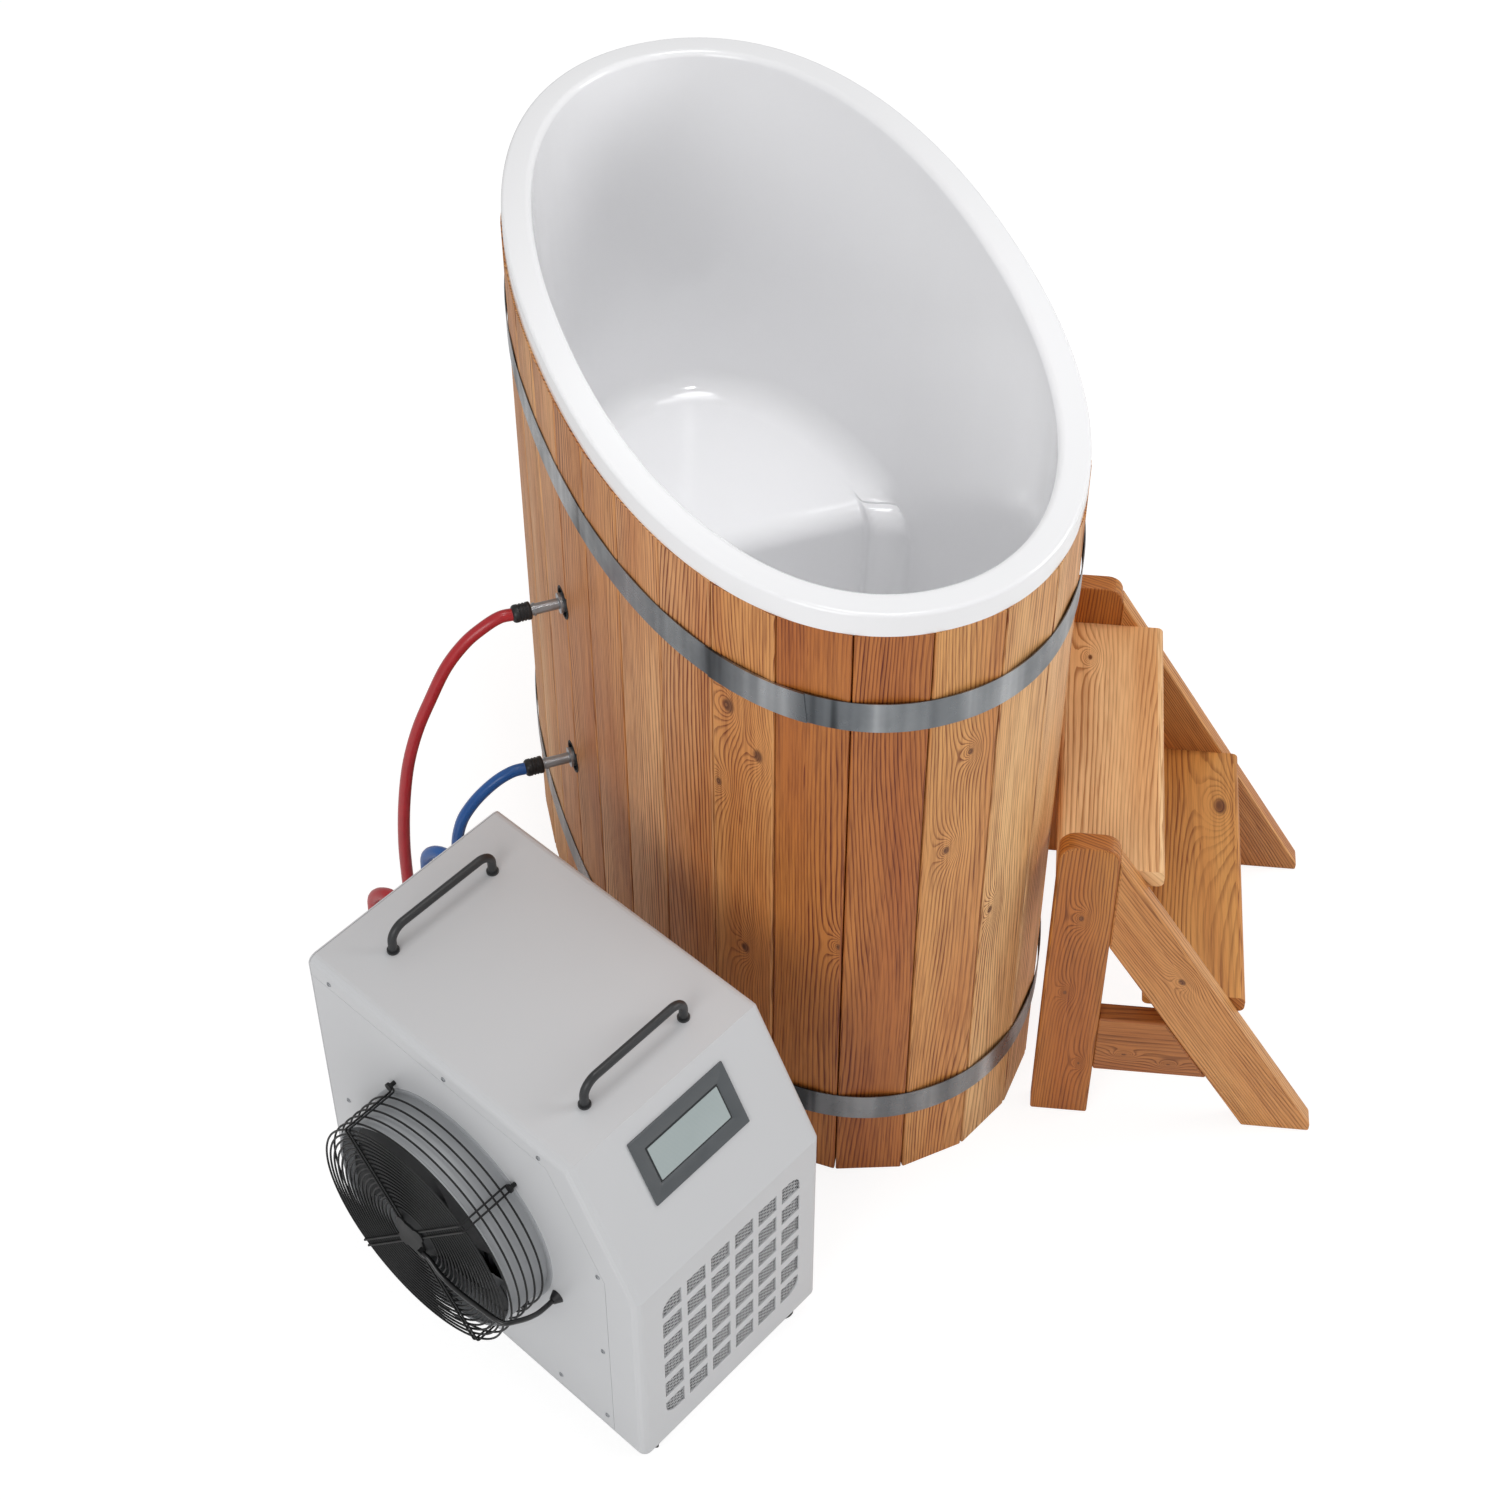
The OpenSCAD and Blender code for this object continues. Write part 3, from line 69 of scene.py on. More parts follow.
camera = placed("photo_camera", bpy.data.cameras.new("photo_camera"))
axes = (CAMERA_RIGHT, CAMERA_UP, CAMERA_BACK, CAMERA_PLACE)
camera.matrix_world = Matrix([[axis[row] for axis in axes] for row in range(3)] + [(0, 0, 0, 1)])
camera.data.lens, camera.data.sensor_width, camera.data.shift_y = LENS_MM, SENSOR_MM, PICTURE_SHIFT
bpy.context.scene.camera = camera

# Water hoses: two smooth flexible hoses, red for the return and blue for the supply, pushed on
# nipples at both ends. Each arches off the tub, drops to the floor and rises to its port.
HOSE_DIAMETER = 0.018
CABLE_DIAMETER = 0.007
CHILLER_TURN = math.radians(28.7)
CASE_W, CASE_D, CASE_H, CASE_Z = 0.340, 0.583, 0.557, 0.051
CASE_CORNER = Vector((-0.4995, -0.2872, CASE_Z))
FITTING_FACE, FITTING_Y = -0.340, -0.058
FITTING_HIGH, FITTING_LOW = 0.730, 0.408
COLLAR_END = 0.072
PORT_X = {"red": CASE_W * 7 / 12, "blue": CASE_W * 7 / 8}
PORT_Z, PORT_END = CASE_H - 0.117, 0.032
FAN_Y, FAN_Z = 0.322, 0.289


def chiller_point(x, y, z):
    """A point of the chiller: x across, y back from its front, z up from its base."""
    x, y = x - CASE_W, y - CASE_D
    c, s = math.cos(CHILLER_TURN), math.sin(CHILLER_TURN)
    return CASE_CORNER + Vector((x * c - y * s, x * s + y * c, z))


def fan_point(along, height, reach):
    """A point of the fan: along the case, up, and out from the case's left side."""
    return chiller_point(-reach, FAN_Y + along, FAN_Z + height)


def millimetres(points):
    return [Vector(p) / 1000 for p in points]


red_route = millimetres([
    (-454, -59, 719), (-482, -59, 697), (-512, -60, 659), (-539, -61, 604), (-563, -62, 548),
    (-582, -62, 480), (-595, -63, 400), (-602, -63, 320), (-604, -63, 250), (-604, -63, 180),
    (-604, -63, 111), (-607, -70, 72), (-615, -90, 39), (-628, -121, 18), (-643, -157, 10),
    (-657, -192, 18), (-670, -223, 39), (-678, -243, 72), (-681, -250, 111),
    (-681, -250, 180), (-681, -250, 250), (-681, -250, 330), (-681, -250, 419),
    (-678, -257, 455), (-665, -280, 481)])
blue_route = millimetres([
    (-452, -59, 400), (-474, -59, 383), (-495, -59, 360), (-513, -60, 331), (-523, -60, 290),
    (-525, -60, 240), (-525, -60, 190), (-525, -60, 140), (-525, -60, 89), (-528, -66, 59),
    (-535, -81, 33), (-546, -104, 16), (-560, -131, 10), (-573, -158, 16), (-584, -181, 33),
    (-591, -197, 59), (-594, -202, 89), (-594, -202, 160), (-594, -202, 240),
    (-594, -202, 330), (-594, -202, 419), (-591, -209, 455), (-578, -232, 481)])
cable_route = [fan_point(*p) for p in millimetres([
    (-27.2, -3, 94.2), (-34.2, -3, 94.2), (-41, -6, 94), (-55, -14, 95), (-74, -20, 95),
    (-101, -19, 95), (-130, -14, 95), (-155, -11, 94), (-171, -12, 90),
    (-178, -15, 79), (-181, -28, 59),
    (-178, -45, 38), (-174, -56, 17), (-174, -56, 10)])]


def hose_run(colour, height, middle):
    """The whole run from the collar on the tub to the collar on the chiller's port."""
    tub = [Vector((FITTING_FACE - COLLAR_END - past, FITTING_Y, height)) for past in (0, HOSE_DIAMETER)]
    port = [chiller_point(PORT_X[colour], CASE_D + PORT_END + past, PORT_Z) for past in (HOSE_DIAMETER, 0)]
    return tub + middle + port


def smooth_line(points, steps):
    """A smooth line through the points, with that many steps between two of them."""
    line = []
    for a, b, c, d in zip([points[0]] + points, points, points[1:], points[2:] + [points[-1]]):
        for k in range(steps):
            t = k / steps
            line.append((b * 2 + (c - a) * t + (a * 2 - b * 5 + c * 4 - d) * t * t
                         + (b * 3 - a - c * 3 + d) * t ** 3) / 2)
    return line + [points[-1]]


def linear(text):
    """An sRGB hex colour as the linear colour that a shader takes."""
    parts = [int(text[i:i + 2], 16) / 255 for i in (1, 3, 5)]
    return tuple(v / 12.92 if v <= 0.04045 else ((v + 0.055) / 1.055) ** 2.4 for v in parts) + (1,)


def add(tree, kind, settings=None, **inputs):
    """Adds a shader node, gives it its settings, and sets or links its inputs by name or number."""
    node = tree.nodes.new("ShaderNode" + kind)
    for name, value in (settings or {}).items():
        setattr(node, name, value)
    for name, value in inputs.items():
        socket = node.inputs[int(name[1:])] if name[1:].isdigit() else node.inputs[name.replace("_", " ")]
        if isinstance(value, bpy.types.NodeSocket):
            tree.links.new(value, socket)
        else:
            socket.default_value = value
    return node


def new_surface(name):
    """An empty material and its node tree, with the shader still to be linked."""
    material = bpy.data.materials.new(name)
    material.use_nodes = True
    material.node_tree.nodes.clear()
    return material, material.node_tree


def object_place(tree):
    """The place on the piece, in its own metres."""
    return add(tree, "TexCoord").outputs["Object"]


def noise(tree, place, scale, detail, stretch=None, **more):
    """A noise pattern; its waves in a metre are the scale times the stretch along each axis."""
    if stretch:
        place = add(tree, "Mapping", Vector=place, Scale=stretch).outputs[0]
    return add(tree, "TexNoise", Vector=place, Scale=scale, Detail=detail, **more).outputs[0]


def blend(tree, share, first, second, kind="MIX"):
    """One colour from two, each an sRGB hex text or a socket."""
    ends = [linear(end) if isinstance(end, str) else end for end in (first, second)]
    return add(tree, "MixRGB", {"blend_type": kind}, Fac=share, Color1=ends[0], Color2=ends[1]).outputs[0]


def spread(tree, value, low, high, start=0, end=1, kind="LINEAR"):
    """Turns start to end of a value into low to high."""
    return add(tree, "MapRange", {"interpolation_type": kind}, Value=value, From_Min=start, From_Max=end,
               To_Min=low, To_Max=high).outputs[0]


def finish_surface(tree, colour, rough, relief, strength, depth, **more):
    """The material's shader, with a relief that stands up to that depth in metres."""
    bump = add(tree, "Bump", Strength=strength, Distance=depth, Height=relief).outputs[0]
    shader = add(tree, "BsdfPrincipled", Base_Color=colour, Roughness=rough, Normal=bump, **more)
    add(tree, "OutputMaterial", Surface=shader.outputs[0])


def soft_pvc(name, colour, shade):
    """Flexible PVC, extruded: an even gloss with faint waves along it and dust that dulls it."""
    material, tree = new_surface(name)
    place = object_place(tree)
    waves = noise(tree, place, 38, 2)
    rough = spread(tree, noise(tree, place, 700, 3), 0.26, 0.42)
    finish_surface(tree, blend(tree, waves, shade, colour), rough, waves, 0.08, 0.0006, IOR=1.53,
                   Coat_Weight=0.15)
    return material


def tube_piece(name, points, diameter, surface):
    """A round tube along a line, as one open curve."""
    curve = bpy.data.curves.new(name, "CURVE")
    curve.dimensions = "3D"
    curve.bevel_depth = diameter / 2
    curve.bevel_resolution = 5
    curve.use_fill_caps = True
    spline = curve.splines.new("POLY")
    spline.points.add(len(points) - 1)
    for point, place in zip(spline.points, points):
        point.co = (*place, 1)
    curve.materials.append(surface)
    piece = placed(name, curve)
    return piece


for colour, height, middle, red_or_blue, shade in (
        ("red", FITTING_HIGH, red_route, "#c02028", "#a31c24"),
        ("blue", FITTING_LOW, blue_route, "#2065b4", "#1a559c")):
    line = smooth_line(hose_run(colour, height, middle), 6)
    hose = tube_piece(colour + "_water_hose", line, HOSE_DIAMETER,
                      soft_pvc(colour + "_pvc", red_or_blue, shade))
    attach(hose, "root")
    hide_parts(colour + "_hose")

# Fan cable: a black sheathed cable from the motor's clamp, over the guard and down to its gland.
# It is extruded PVC, a little slack, so that it stands off the wires.
cable_line = smooth_line(cable_route, 5)
cable = tube_piece("fan_motor_cable", cable_line, CABLE_DIAMETER,
                   soft_pvc("black_sheath", "#1c1c1d", "#131314"))
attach(cable, "root")
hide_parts("fan_cable")

# Base: five planed softwood bearers on the floor, a plywood floor board on them, and one upright
# plywood panel that props the moulded seat. All of it is sawn timber, hidden by the wall.


def sawn_timber(name, light, dark, turn):
    """Sawn softwood: close grain lines 6 mm apart along the piece, and a furry saw-cut surface."""
    material, tree = new_surface(name)
    place = add(tree, "Mapping", Vector=object_place(tree), Rotation=turn).outputs[0]
    lines = noise(tree, place, 1, 4, (9, 170, 170), Distortion=0.4)
    finish_surface(tree, blend(tree, lines, dark, light), 0.72, lines, 0.3, 0.0005)
    return material


def dress(nodes, surface):
    """Gives CAD nodes whose shape is right their material."""
    for name in nodes:
        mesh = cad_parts[name].data
        mesh.materials.clear()
        mesh.materials.append(surface)


dress(["base_bearers"], sawn_timber("sawn_spruce", "#d6b98c", "#b08a5a", (0, 0, 0)))
dress(["floor_board"], sawn_timber("birch_plywood", "#d9bf94", "#c09c6b", (0, 0, math.pi / 2)))
dress(["seat_prop"], sawn_timber("birch_plywood_upright", "#d9bf94", "#c09c6b", (0, math.pi / 2, 0)))

# Staves: 32 flat boards of oiled, knotty softwood stand on end round the oval. Their long edges
# are eased, so that each joint shows as a fine dark groove, and every board has its own tone.
TUB_L, TUB_W, TUB_H = 1.248, 0.680, 1.151
OVAL_R = 0.125
OVAL_POWER = 1.86
STAVE_COUNT = 32
STAVE_T, STAVE_GAP, STAVE_EASE = 0.036, 0.0017, 0.003
FIRST_JOINT = 0.24
RIM_H = 0.035
HOLE_R = 0.025
EASE_STEPS = 3
STAVE_COLOURS = {
    12: "#eab06e", 13: "#f9d09a", 14: "#f4ca92", 15: "#e2a867", 16: "#c9823f", 17: "#c7803d",
    18: "#e8ae6e", 19: "#e6ae77", 20: "#eab580", 21: "#dea56c", 22: "#d89c61", 23: "#e6ae76"}
OTHER_TONES = ("#f0bc80", "#e9b176", "#f3c289", "#e4a96b", "#edb67b")


def oval_reach(turn):
    a, b = TUB_L / 2 - OVAL_R, TUB_W / 2 - OVAL_R
    return (a * abs(math.cos(turn))) ** OVAL_POWER + (b * abs(math.sin(turn))) ** OVAL_POWER


def oval_point(turn, inset):
    """The point of the oval where the outward direction has that turn from +Y, moved in by inset."""
    a, b, p = TUB_L / 2 - OVAL_R, TUB_W / 2 - OVAL_R, OVAL_POWER
    s, c = math.sin(turn), math.cos(turn)
    h = oval_reach(turn) ** (1 / p) + OVAL_R - inset
    t = oval_reach(turn) ** (1 / p - 1) * (
        (b * abs(s)) ** (p - 1) * b * math.copysign(c, c * s) * (abs(s) > 1e-12)
        - (a * abs(c)) ** (p - 1) * a * math.copysign(s, s * c) * (abs(c) > 1e-12))
    return Vector((h * s + t * c, h * c - t * s, 0))


TURN_STEP = math.radians(0.5)
turns = [TURN_STEP * k for k in range(721)]
arcs = [0]
for start, end in zip(turns, turns[1:]):
    arcs.append(arcs[-1] + (oval_point(end, 0) - oval_point(start, 0)).length)
PERIMETER = arcs[-1]
STAVE_PITCH = PERIMETER / STAVE_COUNT


def oval_turn(arc):
    """The turn of the oval at a length along it, clockwise from the seat end."""
    arc = arc % PERIMETER
    k = next(i for i in range(1, len(arcs)) if arcs[i] >= arc)
    share = (arc - arcs[k - 1]) / (arcs[k] - arcs[k - 1])
    return turns[k - 1] + share * TURN_STEP


def corner(i, inset):
    return oval_point(oval_turn((i + FIRST_JOINT) * STAVE_PITCH), inset)


def stave_outline(i):
    """A board's cross section: flat face, two eased edges and a square back."""
    along = (corner(i + 1, 0) - corner(i, 0)).normalized()
    inward = (corner(i, STAVE_T) - corner(i, 0)).normalized()
    inward_far = (corner(i + 1, STAVE_T) - corner(i + 1, 0)).normalized()
    edge = [90 * k / EASE_STEPS for k in range(EASE_STEPS + 1)]
    near = [corner(i, 0) + along * (STAVE_GAP / 2 + STAVE_EASE * (1 - math.sin(math.radians(t))))
            + inward * STAVE_EASE * (1 - math.cos(math.radians(t))) for t in reversed(edge)]
    far = [corner(i + 1, 0) - along * (STAVE_GAP / 2 + STAVE_EASE * (1 - math.sin(math.radians(t))))
           + inward_far * STAVE_EASE * (1 - math.cos(math.radians(t))) for t in edge]
    back = [corner(i + 1, STAVE_T) - along * STAVE_GAP / 2, corner(i, STAVE_T) + along * STAVE_GAP / 2]
    return list(reversed(far)) + list(reversed(near)) + list(reversed(back))


def tube_faces(rows, n, low=0):
    """The faces that join rows of n points, each a closed ring, one after another."""
    return [[low + j * n + k, low + j * n + (k + 1) % n,
             low + (j + 1) * n + (k + 1) % n, low + (j + 1) * n + k]
            for j in range(rows - 1) for k in range(n)]


def end_faces(rows, n, low=0):
    """The two faces that close the first and the last of those rings."""
    return [[low + k for k in reversed(range(n))], [low + (rows - 1) * n + k for k in range(n)]]


def smooth(mesh, sharp):
    """Shades a mesh smooth, but for edges sharper than that angle."""
    mesh.polygons.foreach_set("use_smooth", [True] * len(mesh.polygons))
    mesh.set_sharp_from_angle(angle=math.radians(sharp))


def shape(name, points, faces, surface, body="root", sharp=30):
    """A mesh piece in the frame's place, smooth but for edges sharper than that angle."""
    mesh = bpy.data.meshes.new(name)
    mesh.from_pydata([tuple(p) for p in points], [], faces)
    form = bmesh.new()
    form.from_mesh(mesh)
    bmesh.ops.recalc_face_normals(form, faces=form.faces)
    form.to_mesh(mesh)
    form.free()
    smooth(mesh, sharp)
    mesh.materials.append(surface)
    piece = placed(name, mesh)
    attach(piece, body)
    return piece


def lay_grain(mesh, direction, seeds):
    """Lays a flat map on every face, across and along the grain, in metres."""
    layer = mesh.uv_layers.new(name="board").data
    grain = Vector(direction).normalized()
    for face in mesh.polygons:
        across = face.normal.cross(grain)
        along = grain
        if across.length < 0.5:
            across = grain.orthogonal().normalized()
            along = grain.cross(across)
        across.normalize()
        for corner_index in face.loop_indices:
            p = mesh.vertices[mesh.loops[corner_index].vertex_index].co
            layer[corner_index].uv = (p.dot(across) + seeds(face), p.dot(along))


def board_place(arc, height, seed):
    """Where a spot on the wall lies on its board's map."""
    i = math.floor(arc / STAVE_PITCH - FIRST_JOINT)
    start, end = corner(i, 0), corner(i + 1, 0)
    share = arc / STAVE_PITCH - FIRST_JOINT - i
    along = (end - start).normalized()
    return ((start + (end - start) * share).dot(along) + seed * i, height)


def maths(tree, operation, *values, clamp=False):
    """A sum or another step of arithmetic in a material."""
    inputs = {"_%d" % k: value for k, value in enumerate(values)}
    return add(tree, "Math", {"operation": operation, "use_clamp": clamp}, **inputs).outputs[0]


def oiled_softwood(name, light, dark, spots, ring=0.0052, tones=None):
    """Planed and oiled softwood: year rings 5 mm apart that sway along the board, fine fibres and
    darker streaks between them, and knots that the rings flow round: (across, along, radius)."""
    material, tree = new_surface(name)
    flat = add(tree, "UVMap", {"uv_map": "board"}).outputs[0]
    split = add(tree, "SeparateXYZ", Vector=flat)

    def streaks(across, along, detail):
        return noise(tree, flat, 1, detail, (across, along, 1))

    count = maths(tree, "MULTIPLY", split.outputs[0], 1 / ring)
    count = maths(tree, "MULTIPLY_ADD", streaks(6.5, 0.8, 1), 22, count)
    count = maths(tree, "MULTIPLY_ADD", streaks(45, 4, 3), 1.3, count)
    knots = None
    for across, along, radius in spots:
        away = add(tree, "VectorMath", {"operation": "SUBTRACT"}, _0=flat, _1=(across, along, 0)).outputs[0]
        away = add(tree, "VectorMath", {"operation": "MULTIPLY"}, _0=away, _1=(1 / radius, 0.6 / radius, 0))
        far = add(tree, "VectorMath", {"operation": "LENGTH"}, _0=away.outputs[0]).outputs["Value"]
        near = maths(tree, "MULTIPLY", far, 0.42)
        flow = maths(tree, "DIVIDE", 9.0, maths(tree, "MULTIPLY_ADD", near, near, 1.0))
        count = maths(tree, "ADD", count, flow)
        spot = spread(tree, far, 0, 1, 1.2, 0.5, "SMOOTHSTEP")
        knots = maths(tree, "MAXIMUM", knots, spot) if knots else spot
    part = maths(tree, "FRACT", count)
    rise = spread(tree, part, 0, 1, 0.42, 0.90, "SMOOTHSTEP")
    fall = spread(tree, part, 0, 1, 1.0, 0.93, "SMOOTHSTEP")
    strength = spread(tree, streaks(14, 1.6, 3), 0.2, 0.95, 0.32, 0.68)
    late = maths(tree, "MULTIPLY", maths(tree, "MULTIPLY", rise, fall), strength)
    fine = maths(tree, "MULTIPLY_ADD", streaks(170, 5, 4), 1.3, -1.04)
    fine = maths(tree, "MULTIPLY_ADD", streaks(800, 20, 3), 1.0, fine)
    mixed = maths(tree, "ADD", fine, late, clamp=True)
    tint = blend(tree, mixed, light, dark)
    tint = blend(tree, spread(tree, streaks(9, 1.1, 2), 0, 1, 0.35, 0.65), tint, "#e6cdb2", "MULTIPLY")
    tint = blend(tree, spread(tree, streaks(260, 9, 2), 0, 1, 0.70, 0.76), tint, "#a9764c", "MULTIPLY")
    if tones:
        tone = add(tree, "Attribute", {"attribute_name": tones}).outputs[0]
        tint = blend(tree, 1.0, tint, tone, "MULTIPLY")
    if knots:
        tint = blend(tree, knots, tint, blend(tree, part, "#8a5228", "#562f15"))
    finish_surface(tree, tint, spread(tree, mixed, 0.46, 0.62), mixed, 0.4, 0.0004, IOR=1.48)
    return material


def cut_out(piece, cutters):
    """Cuts round holes through a piece; each cutter is (start, end, radius)."""
    for start, end, radius in cutters:
        cutter_mesh = bpy.data.meshes.new("hole_cutter")
        cutter = placed("hole_cutter", cutter_mesh)
        shell = bmesh.new()
        bmesh.ops.create_cone(shell, cap_ends=True, segments=48, radius1=radius, radius2=radius,
                              depth=(end - start).length)
        shell.to_mesh(cutter_mesh)
        shell.free()
        cutter.matrix_world = Matrix.Translation((start + end) / 2) @ (
            (end - start).to_track_quat("Z", "Y").to_matrix().to_4x4())
        cutting = piece.modifiers.new("hole", "BOOLEAN")
        cutting.object = cutter
        cutting.solver = "EXACT"
        bpy.context.view_layer.update()
        solved = piece.evaluated_get(bpy.context.evaluated_depsgraph_get())
        mesh = bpy.data.meshes.new_from_object(solved)
        piece.modifiers.clear()
        piece.data = mesh
        bpy.data.objects.remove(cutter)


def wall_holes(out, into, radius):
    """Cutters for both fittings' holes, from outside the wall's face to inside it."""
    return [(Vector((FITTING_FACE + out, FITTING_Y, z)), Vector((FITTING_FACE + into, FITTING_Y, z)),
             radius) for z in (FITTING_HIGH, FITTING_LOW)]


STAVE_SEED = 0.37
knot_spots = [board_place(arc, height, STAVE_SEED) + (radius,) for arc, height, radius in (
    (1.818, 0.850, 0.008), (1.863, 0.915, 0.009), (1.560, 0.700, 0.005), (1.535, 0.880, 0.004),
    (1.838, 0.445, 0.007), (1.700, 0.520, 0.004), (1.480, 0.530, 0.005), (1.880, 0.760, 0.005))]
stave_wood = oiled_softwood("oiled_thermo_spruce", "#fff9f0", "#87512a", knot_spots, tones="tone")
quarters = {"head": -4, "right": 4, "foot": 12, "left": 20}
for quarter, first in quarters.items():
    points, faces = [], []
    for i in range(first, first + STAVE_COUNT // 4):
        outline = stave_outline(i)
        n, low = len(outline), len(points)
        points += outline + [p + Vector((0, 0, TUB_H - RIM_H)) for p in outline]
        faces += tube_faces(2, n, low) + end_faces(2, n, low)
    wall = shape(quarter + "_staves", points, faces, stave_wood, sharp=45)
    if quarter == "left":
        cut_out(wall, wall_holes(-0.02, 0.06, HOLE_R))
    middles = {i: (corner(i, STAVE_T / 2) + corner(i + 1, STAVE_T / 2)) / 2
               for i in range(first, first + STAVE_COUNT // 4)}

    def board_number(face):
        spot = Vector((face.center.x, face.center.y, 0))
        return min(middles, key=lambda i: (middles[i] - spot).length)

    lay_grain(wall.data, (0, 0, 1), lambda face: STAVE_SEED * board_number(face))
    tone = wall.data.color_attributes.new("tone", "FLOAT_COLOR", "CORNER")
    for face in wall.data.polygons:
        i = board_number(face) % STAVE_COUNT
        colour = linear(STAVE_COLOURS.get(i, OTHER_TONES[i * 3 % 5]))
        for corner_index in face.loop_indices:
            tone.data[corner_index].color = colour
    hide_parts("staves_" + quarter)

# Hoops: two bands of rolled steel strip pulled tight round the staves. The strip touches every
# joint and stands off the flat faces between, and the upper hoop's ends lap over each other.
HOOP_W, HOOP_T, HOOP_IN = 0.050, 0.0015, 0.0001
HOOP_PLACES = {"lower": 0.135, "upper": 0.952}
LAP_START, LAP_END, LAP_SLANT = 1.748, 1.893, 0.005
HOOP_STEP = 0.0125


def rolled_steel(name):
    """Rolled steel strip: bright and dark streaks across it, a painted reflection of the room, with
    fine rolling lines along it and dull smears."""
    material, tree = new_surface(name)
    place = object_place(tree)
    lines = noise(tree, place, 1, 3, (7, 7, 900))
    smears = noise(tree, place, 16, 4, Roughness=0.65)
    # The streaks' colours, from dark grey to near white, are a painted reflection of the room.
    tone = add(tree, "ValToRGB", Fac=noise(tree, place, 1, 3, (15, 15, 0.5)))
    reflection_ramp = tone.color_ramp.elements
    reflection_ramp[0].position, reflection_ramp[0].color = 0.35, linear("#45484b")
    reflection_ramp[1].position, reflection_ramp[1].color = 0.66, linear("#d3d6d8")
    for position, colour in ((0.39, "#7d8185"), (0.50, "#94989b"), (0.58, "#aaadb0")):
        reflection_ramp.new(position).color = linear(colour)
    tint = blend(tree, smears, tone.outputs[0], "#cfd1d3", "MULTIPLY")
    finish_surface(tree, tint, spread(tree, smears, 0.2, 0.4, 0.3, 0.7), lines, 0.12, 0.0003, Metallic=0.9)
    return material


hoop_steel = rolled_steel("mill_finished_strip")


def strip_point(arc, out):
    """A point of the strip, which curves evenly from joint to joint."""
    p = oval_point(oval_turn(arc), -out)
    return Vector((p.x, min(p.y, cad_high[1]), 0))


def band_arcs(first, last):
    count = math.ceil((last - first) / HOOP_STEP)
    return [first + (last - first) * k / count for k in range(count + 1)]


def band_section(near, far):
    """The corners of the strip's section: (out from the wall, up from its lower edge)."""
    return (near, 0), (far, 0), (far, HOOP_W), (near, HOOP_W)


for which, low in HOOP_PLACES.items():
    run = band_arcs(0, PERIMETER)[:-1]
    n = len(run)
    points = [strip_point(a, out) + Vector((0, 0, low + height))
              for out, height in band_section(HOOP_IN, HOOP_T) for a in run]
    faces = tube_faces(4, n) + [[3 * n + k, 3 * n + (k + 1) % n, (k + 1) % n, k] for k in range(n)]
    if which == "upper":
        lap = band_arcs(LAP_START, LAP_END)
        base, m = len(points), len(lap)
        for out, height in band_section(HOOP_T, 2 * HOOP_T):
            for k, a in enumerate(lap):
                slide = LAP_SLANT * height / HOOP_W if k in (0, m - 1) else 0
                points.append(strip_point(a + slide, out) + Vector((0, 0, low + height)))
        sides = [(base + side * m, base + (side + 1) % 4 * m) for side in range(4)]
        faces += [[a + k, a + k + 1, b + k + 1, b + k] for k in range(m - 1) for a, b in sides]
        faces += [[a for a, b in reversed(sides)], [a + m - 1 for a, b in sides]]
    hoop = shape(which + "_steel_hoop", points, faces, hoop_steel, sharp=25)
    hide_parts("hoop_" + which)

# Liner: one moulded shell of fibreglass with a white gelcoat. It has a flat rim that hangs on the
# staves, walls that draw in downwards, a rounded seat at one end and a deep footwell at the other.
RIM_W, RIM_STEP, RIM_ROUND = 0.042, 0.003, 0.010
LINER_T, DRAFT = 0.006, 0.04
SEAT_Z, SEAT_Y, SEAT_FALL, SEAT_FILLET, SEAT_NOSE = 0.520, 0.190, 0.004, 0.045, 0.040
FLOOR_FILLET, FADE_L, CORNER_ROUND = 0.060, 0.040, 0.030
LINER_FLOOR_Z = 0.0844
LINER_SIDES, FILLET_STEPS = 360, 12
OPEN_FRONT = TUB_L


def wall_inset(z):
    return RIM_STEP + RIM_W + (TUB_H - z) * DRAFT


def seat_fade(y, end):
    """How far the wall has come in at y; it is all the way in from end on."""
    t = min(1, max(0, (y - end) / FADE_L + 1))
    return t * t * (3 - 2 * t)


def soft_least(a, b):
    """The lesser of two lengths, rounded over where they meet."""
    share = max(0, CORNER_ROUND - abs(a - b)) / CORNER_ROUND
    return min(a, b) - share * share * CORNER_ROUND / 4


def quarter_turn():
    return [math.pi / 2 * k / FILLET_STEPS for k in range(FILLET_STEPS + 1)]


def shell_stations(out):
    """Level rings down one face of the shell: (height, inset, seat's easing, seat's front)."""
    rings = []
    for t in quarter_turn():
        r = SEAT_FILLET + out
        z = SEAT_Z + SEAT_FILLET - r * math.sin(t)
        rings.append((z, wall_inset(z) - out, r * (1 - math.cos(t)), OPEN_FRONT))
    for t in quarter_turn():
        r = SEAT_NOSE - out
        z = SEAT_Z - SEAT_FALL - SEAT_NOSE + r * math.cos(t)
        rings.append((z, wall_inset(z) - out, SEAT_FILLET + out, SEAT_Y + SEAT_NOSE - r * math.sin(t)))
    for t in quarter_turn():
        r = FLOOR_FILLET + out
        z = LINER_FLOOR_Z + FLOOR_FILLET - r * math.sin(t)
        rings.append((z, wall_inset(z) - out + r * (1 - math.cos(t)), SEAT_FILLET + out,
                      SEAT_Y - (SEAT_Z - z) * DRAFT + out - r * (1 - math.cos(t))))
    return rings


def liner_ring(station):
    z, inset, ease, front = station
    ring = []
    for k in range(LINER_SIDES):
        turn = oval_turn(-k * PERIMETER / LINER_SIDES)
        end = min(front, SEAT_Y + SEAT_NOSE)
        p = oval_point(turn, inset + seat_fade(oval_point(turn, 0).y, end) * ease)
        ring.append(Vector((p.x, soft_least(p.y, front), z)))
    return ring


